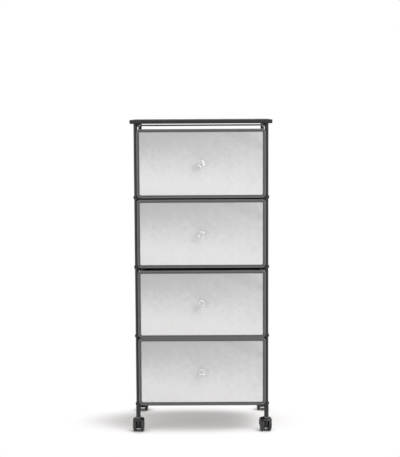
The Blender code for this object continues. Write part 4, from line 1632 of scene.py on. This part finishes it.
class CART_OT_stage(bpy.types.Operator):
    """Make the camera, lamps, floor and background"""

    bl_idname = "cart.make_stage"
    bl_label = "Stage"
    bl_options = {"REGISTER", "UNDO"}

    def execute(self, context):
        stage = context.scene.cart_stage
        context.scene.view_settings.view_transform = "Standard"
        stage_camera(stage)
        powers = {"key": stage.key_power, "top": stage.top_power, "fill": stage.fill_power}
        for name, place, target_height, size in LAMPS:
            stage_lamp(name, place, target_height, size, powers[name])
        stage_world(stage)
        mesh = bpy.data.meshes.new("floor")
        signs = ((-1, -1), (1, -1), (1, 1), (-1, 1))
        corners = [(x * FLOOR_REACH, y * FLOOR_REACH, 0.0) for x, y in signs]
        mesh.from_pydata(corners, [], [(0, 1, 2, 3)])
        mesh.materials.append(floor_finish(stage.floor_white))
        floor = in_scene("floor", mesh)
        return {"FINISHED"}


class CART_PT_panel(bpy.types.Panel):
    """List of the cart's pieces"""

    bl_idname = "CART_PT_panel"
    bl_label = "Drawer Cart"
    bl_space_type = "VIEW_3D"
    bl_region_type = "UI"
    bl_category = "Cart"

    def draw(self, context):
        for operator in OPERATORS:
            self.layout.operator(operator.bl_idname)
        for group in (context.scene.cart_sizes, context.scene.cart_colours, context.scene.cart_stage):
            box = self.layout.box()
            for name in group.__annotations__:
                box.prop(group, name)


OPERATORS = (
    CART_OT_top_board,
    CART_OT_frame_tubes,
    CART_OT_fasteners,
    CART_OT_casters,
    CART_OT_bins,
    CART_OT_fronts,
    CART_OT_bindings,
    CART_OT_knobs,
    CART_OT_stage,
)
GROUPS = {"cart_sizes": CartSizes, "cart_colours": CartColours, "cart_stage": CartStage}
CLASSES = (*GROUPS.values(), *OPERATORS, CART_PT_panel)


def register():
    """Register the classes and give each scene its sizes, colours and stage."""
    for cls in CLASSES:
        bpy.utils.register_class(cls)
    for name, group in GROUPS.items():
        setattr(bpy.types.Scene, name, PointerProperty(type=group))


def unregister():
    """Take everything out again."""
    for name in GROUPS:
        delattr(bpy.types.Scene, name)
    for cls in reversed(CLASSES):
        bpy.utils.unregister_class(cls)


def main():
    """Make every piece in order."""
    register()
    bpy.ops.cart.make_top_board()
    bpy.ops.cart.make_frame_tubes()
    bpy.ops.cart.make_fasteners()
    bpy.ops.cart.make_casters()
    bpy.ops.cart.make_bins()
    bpy.ops.cart.make_fronts()
    bpy.ops.cart.make_bindings()
    bpy.ops.cart.make_knobs()
    bpy.ops.cart.make_stage()


if __name__ == "__main__":
    main()
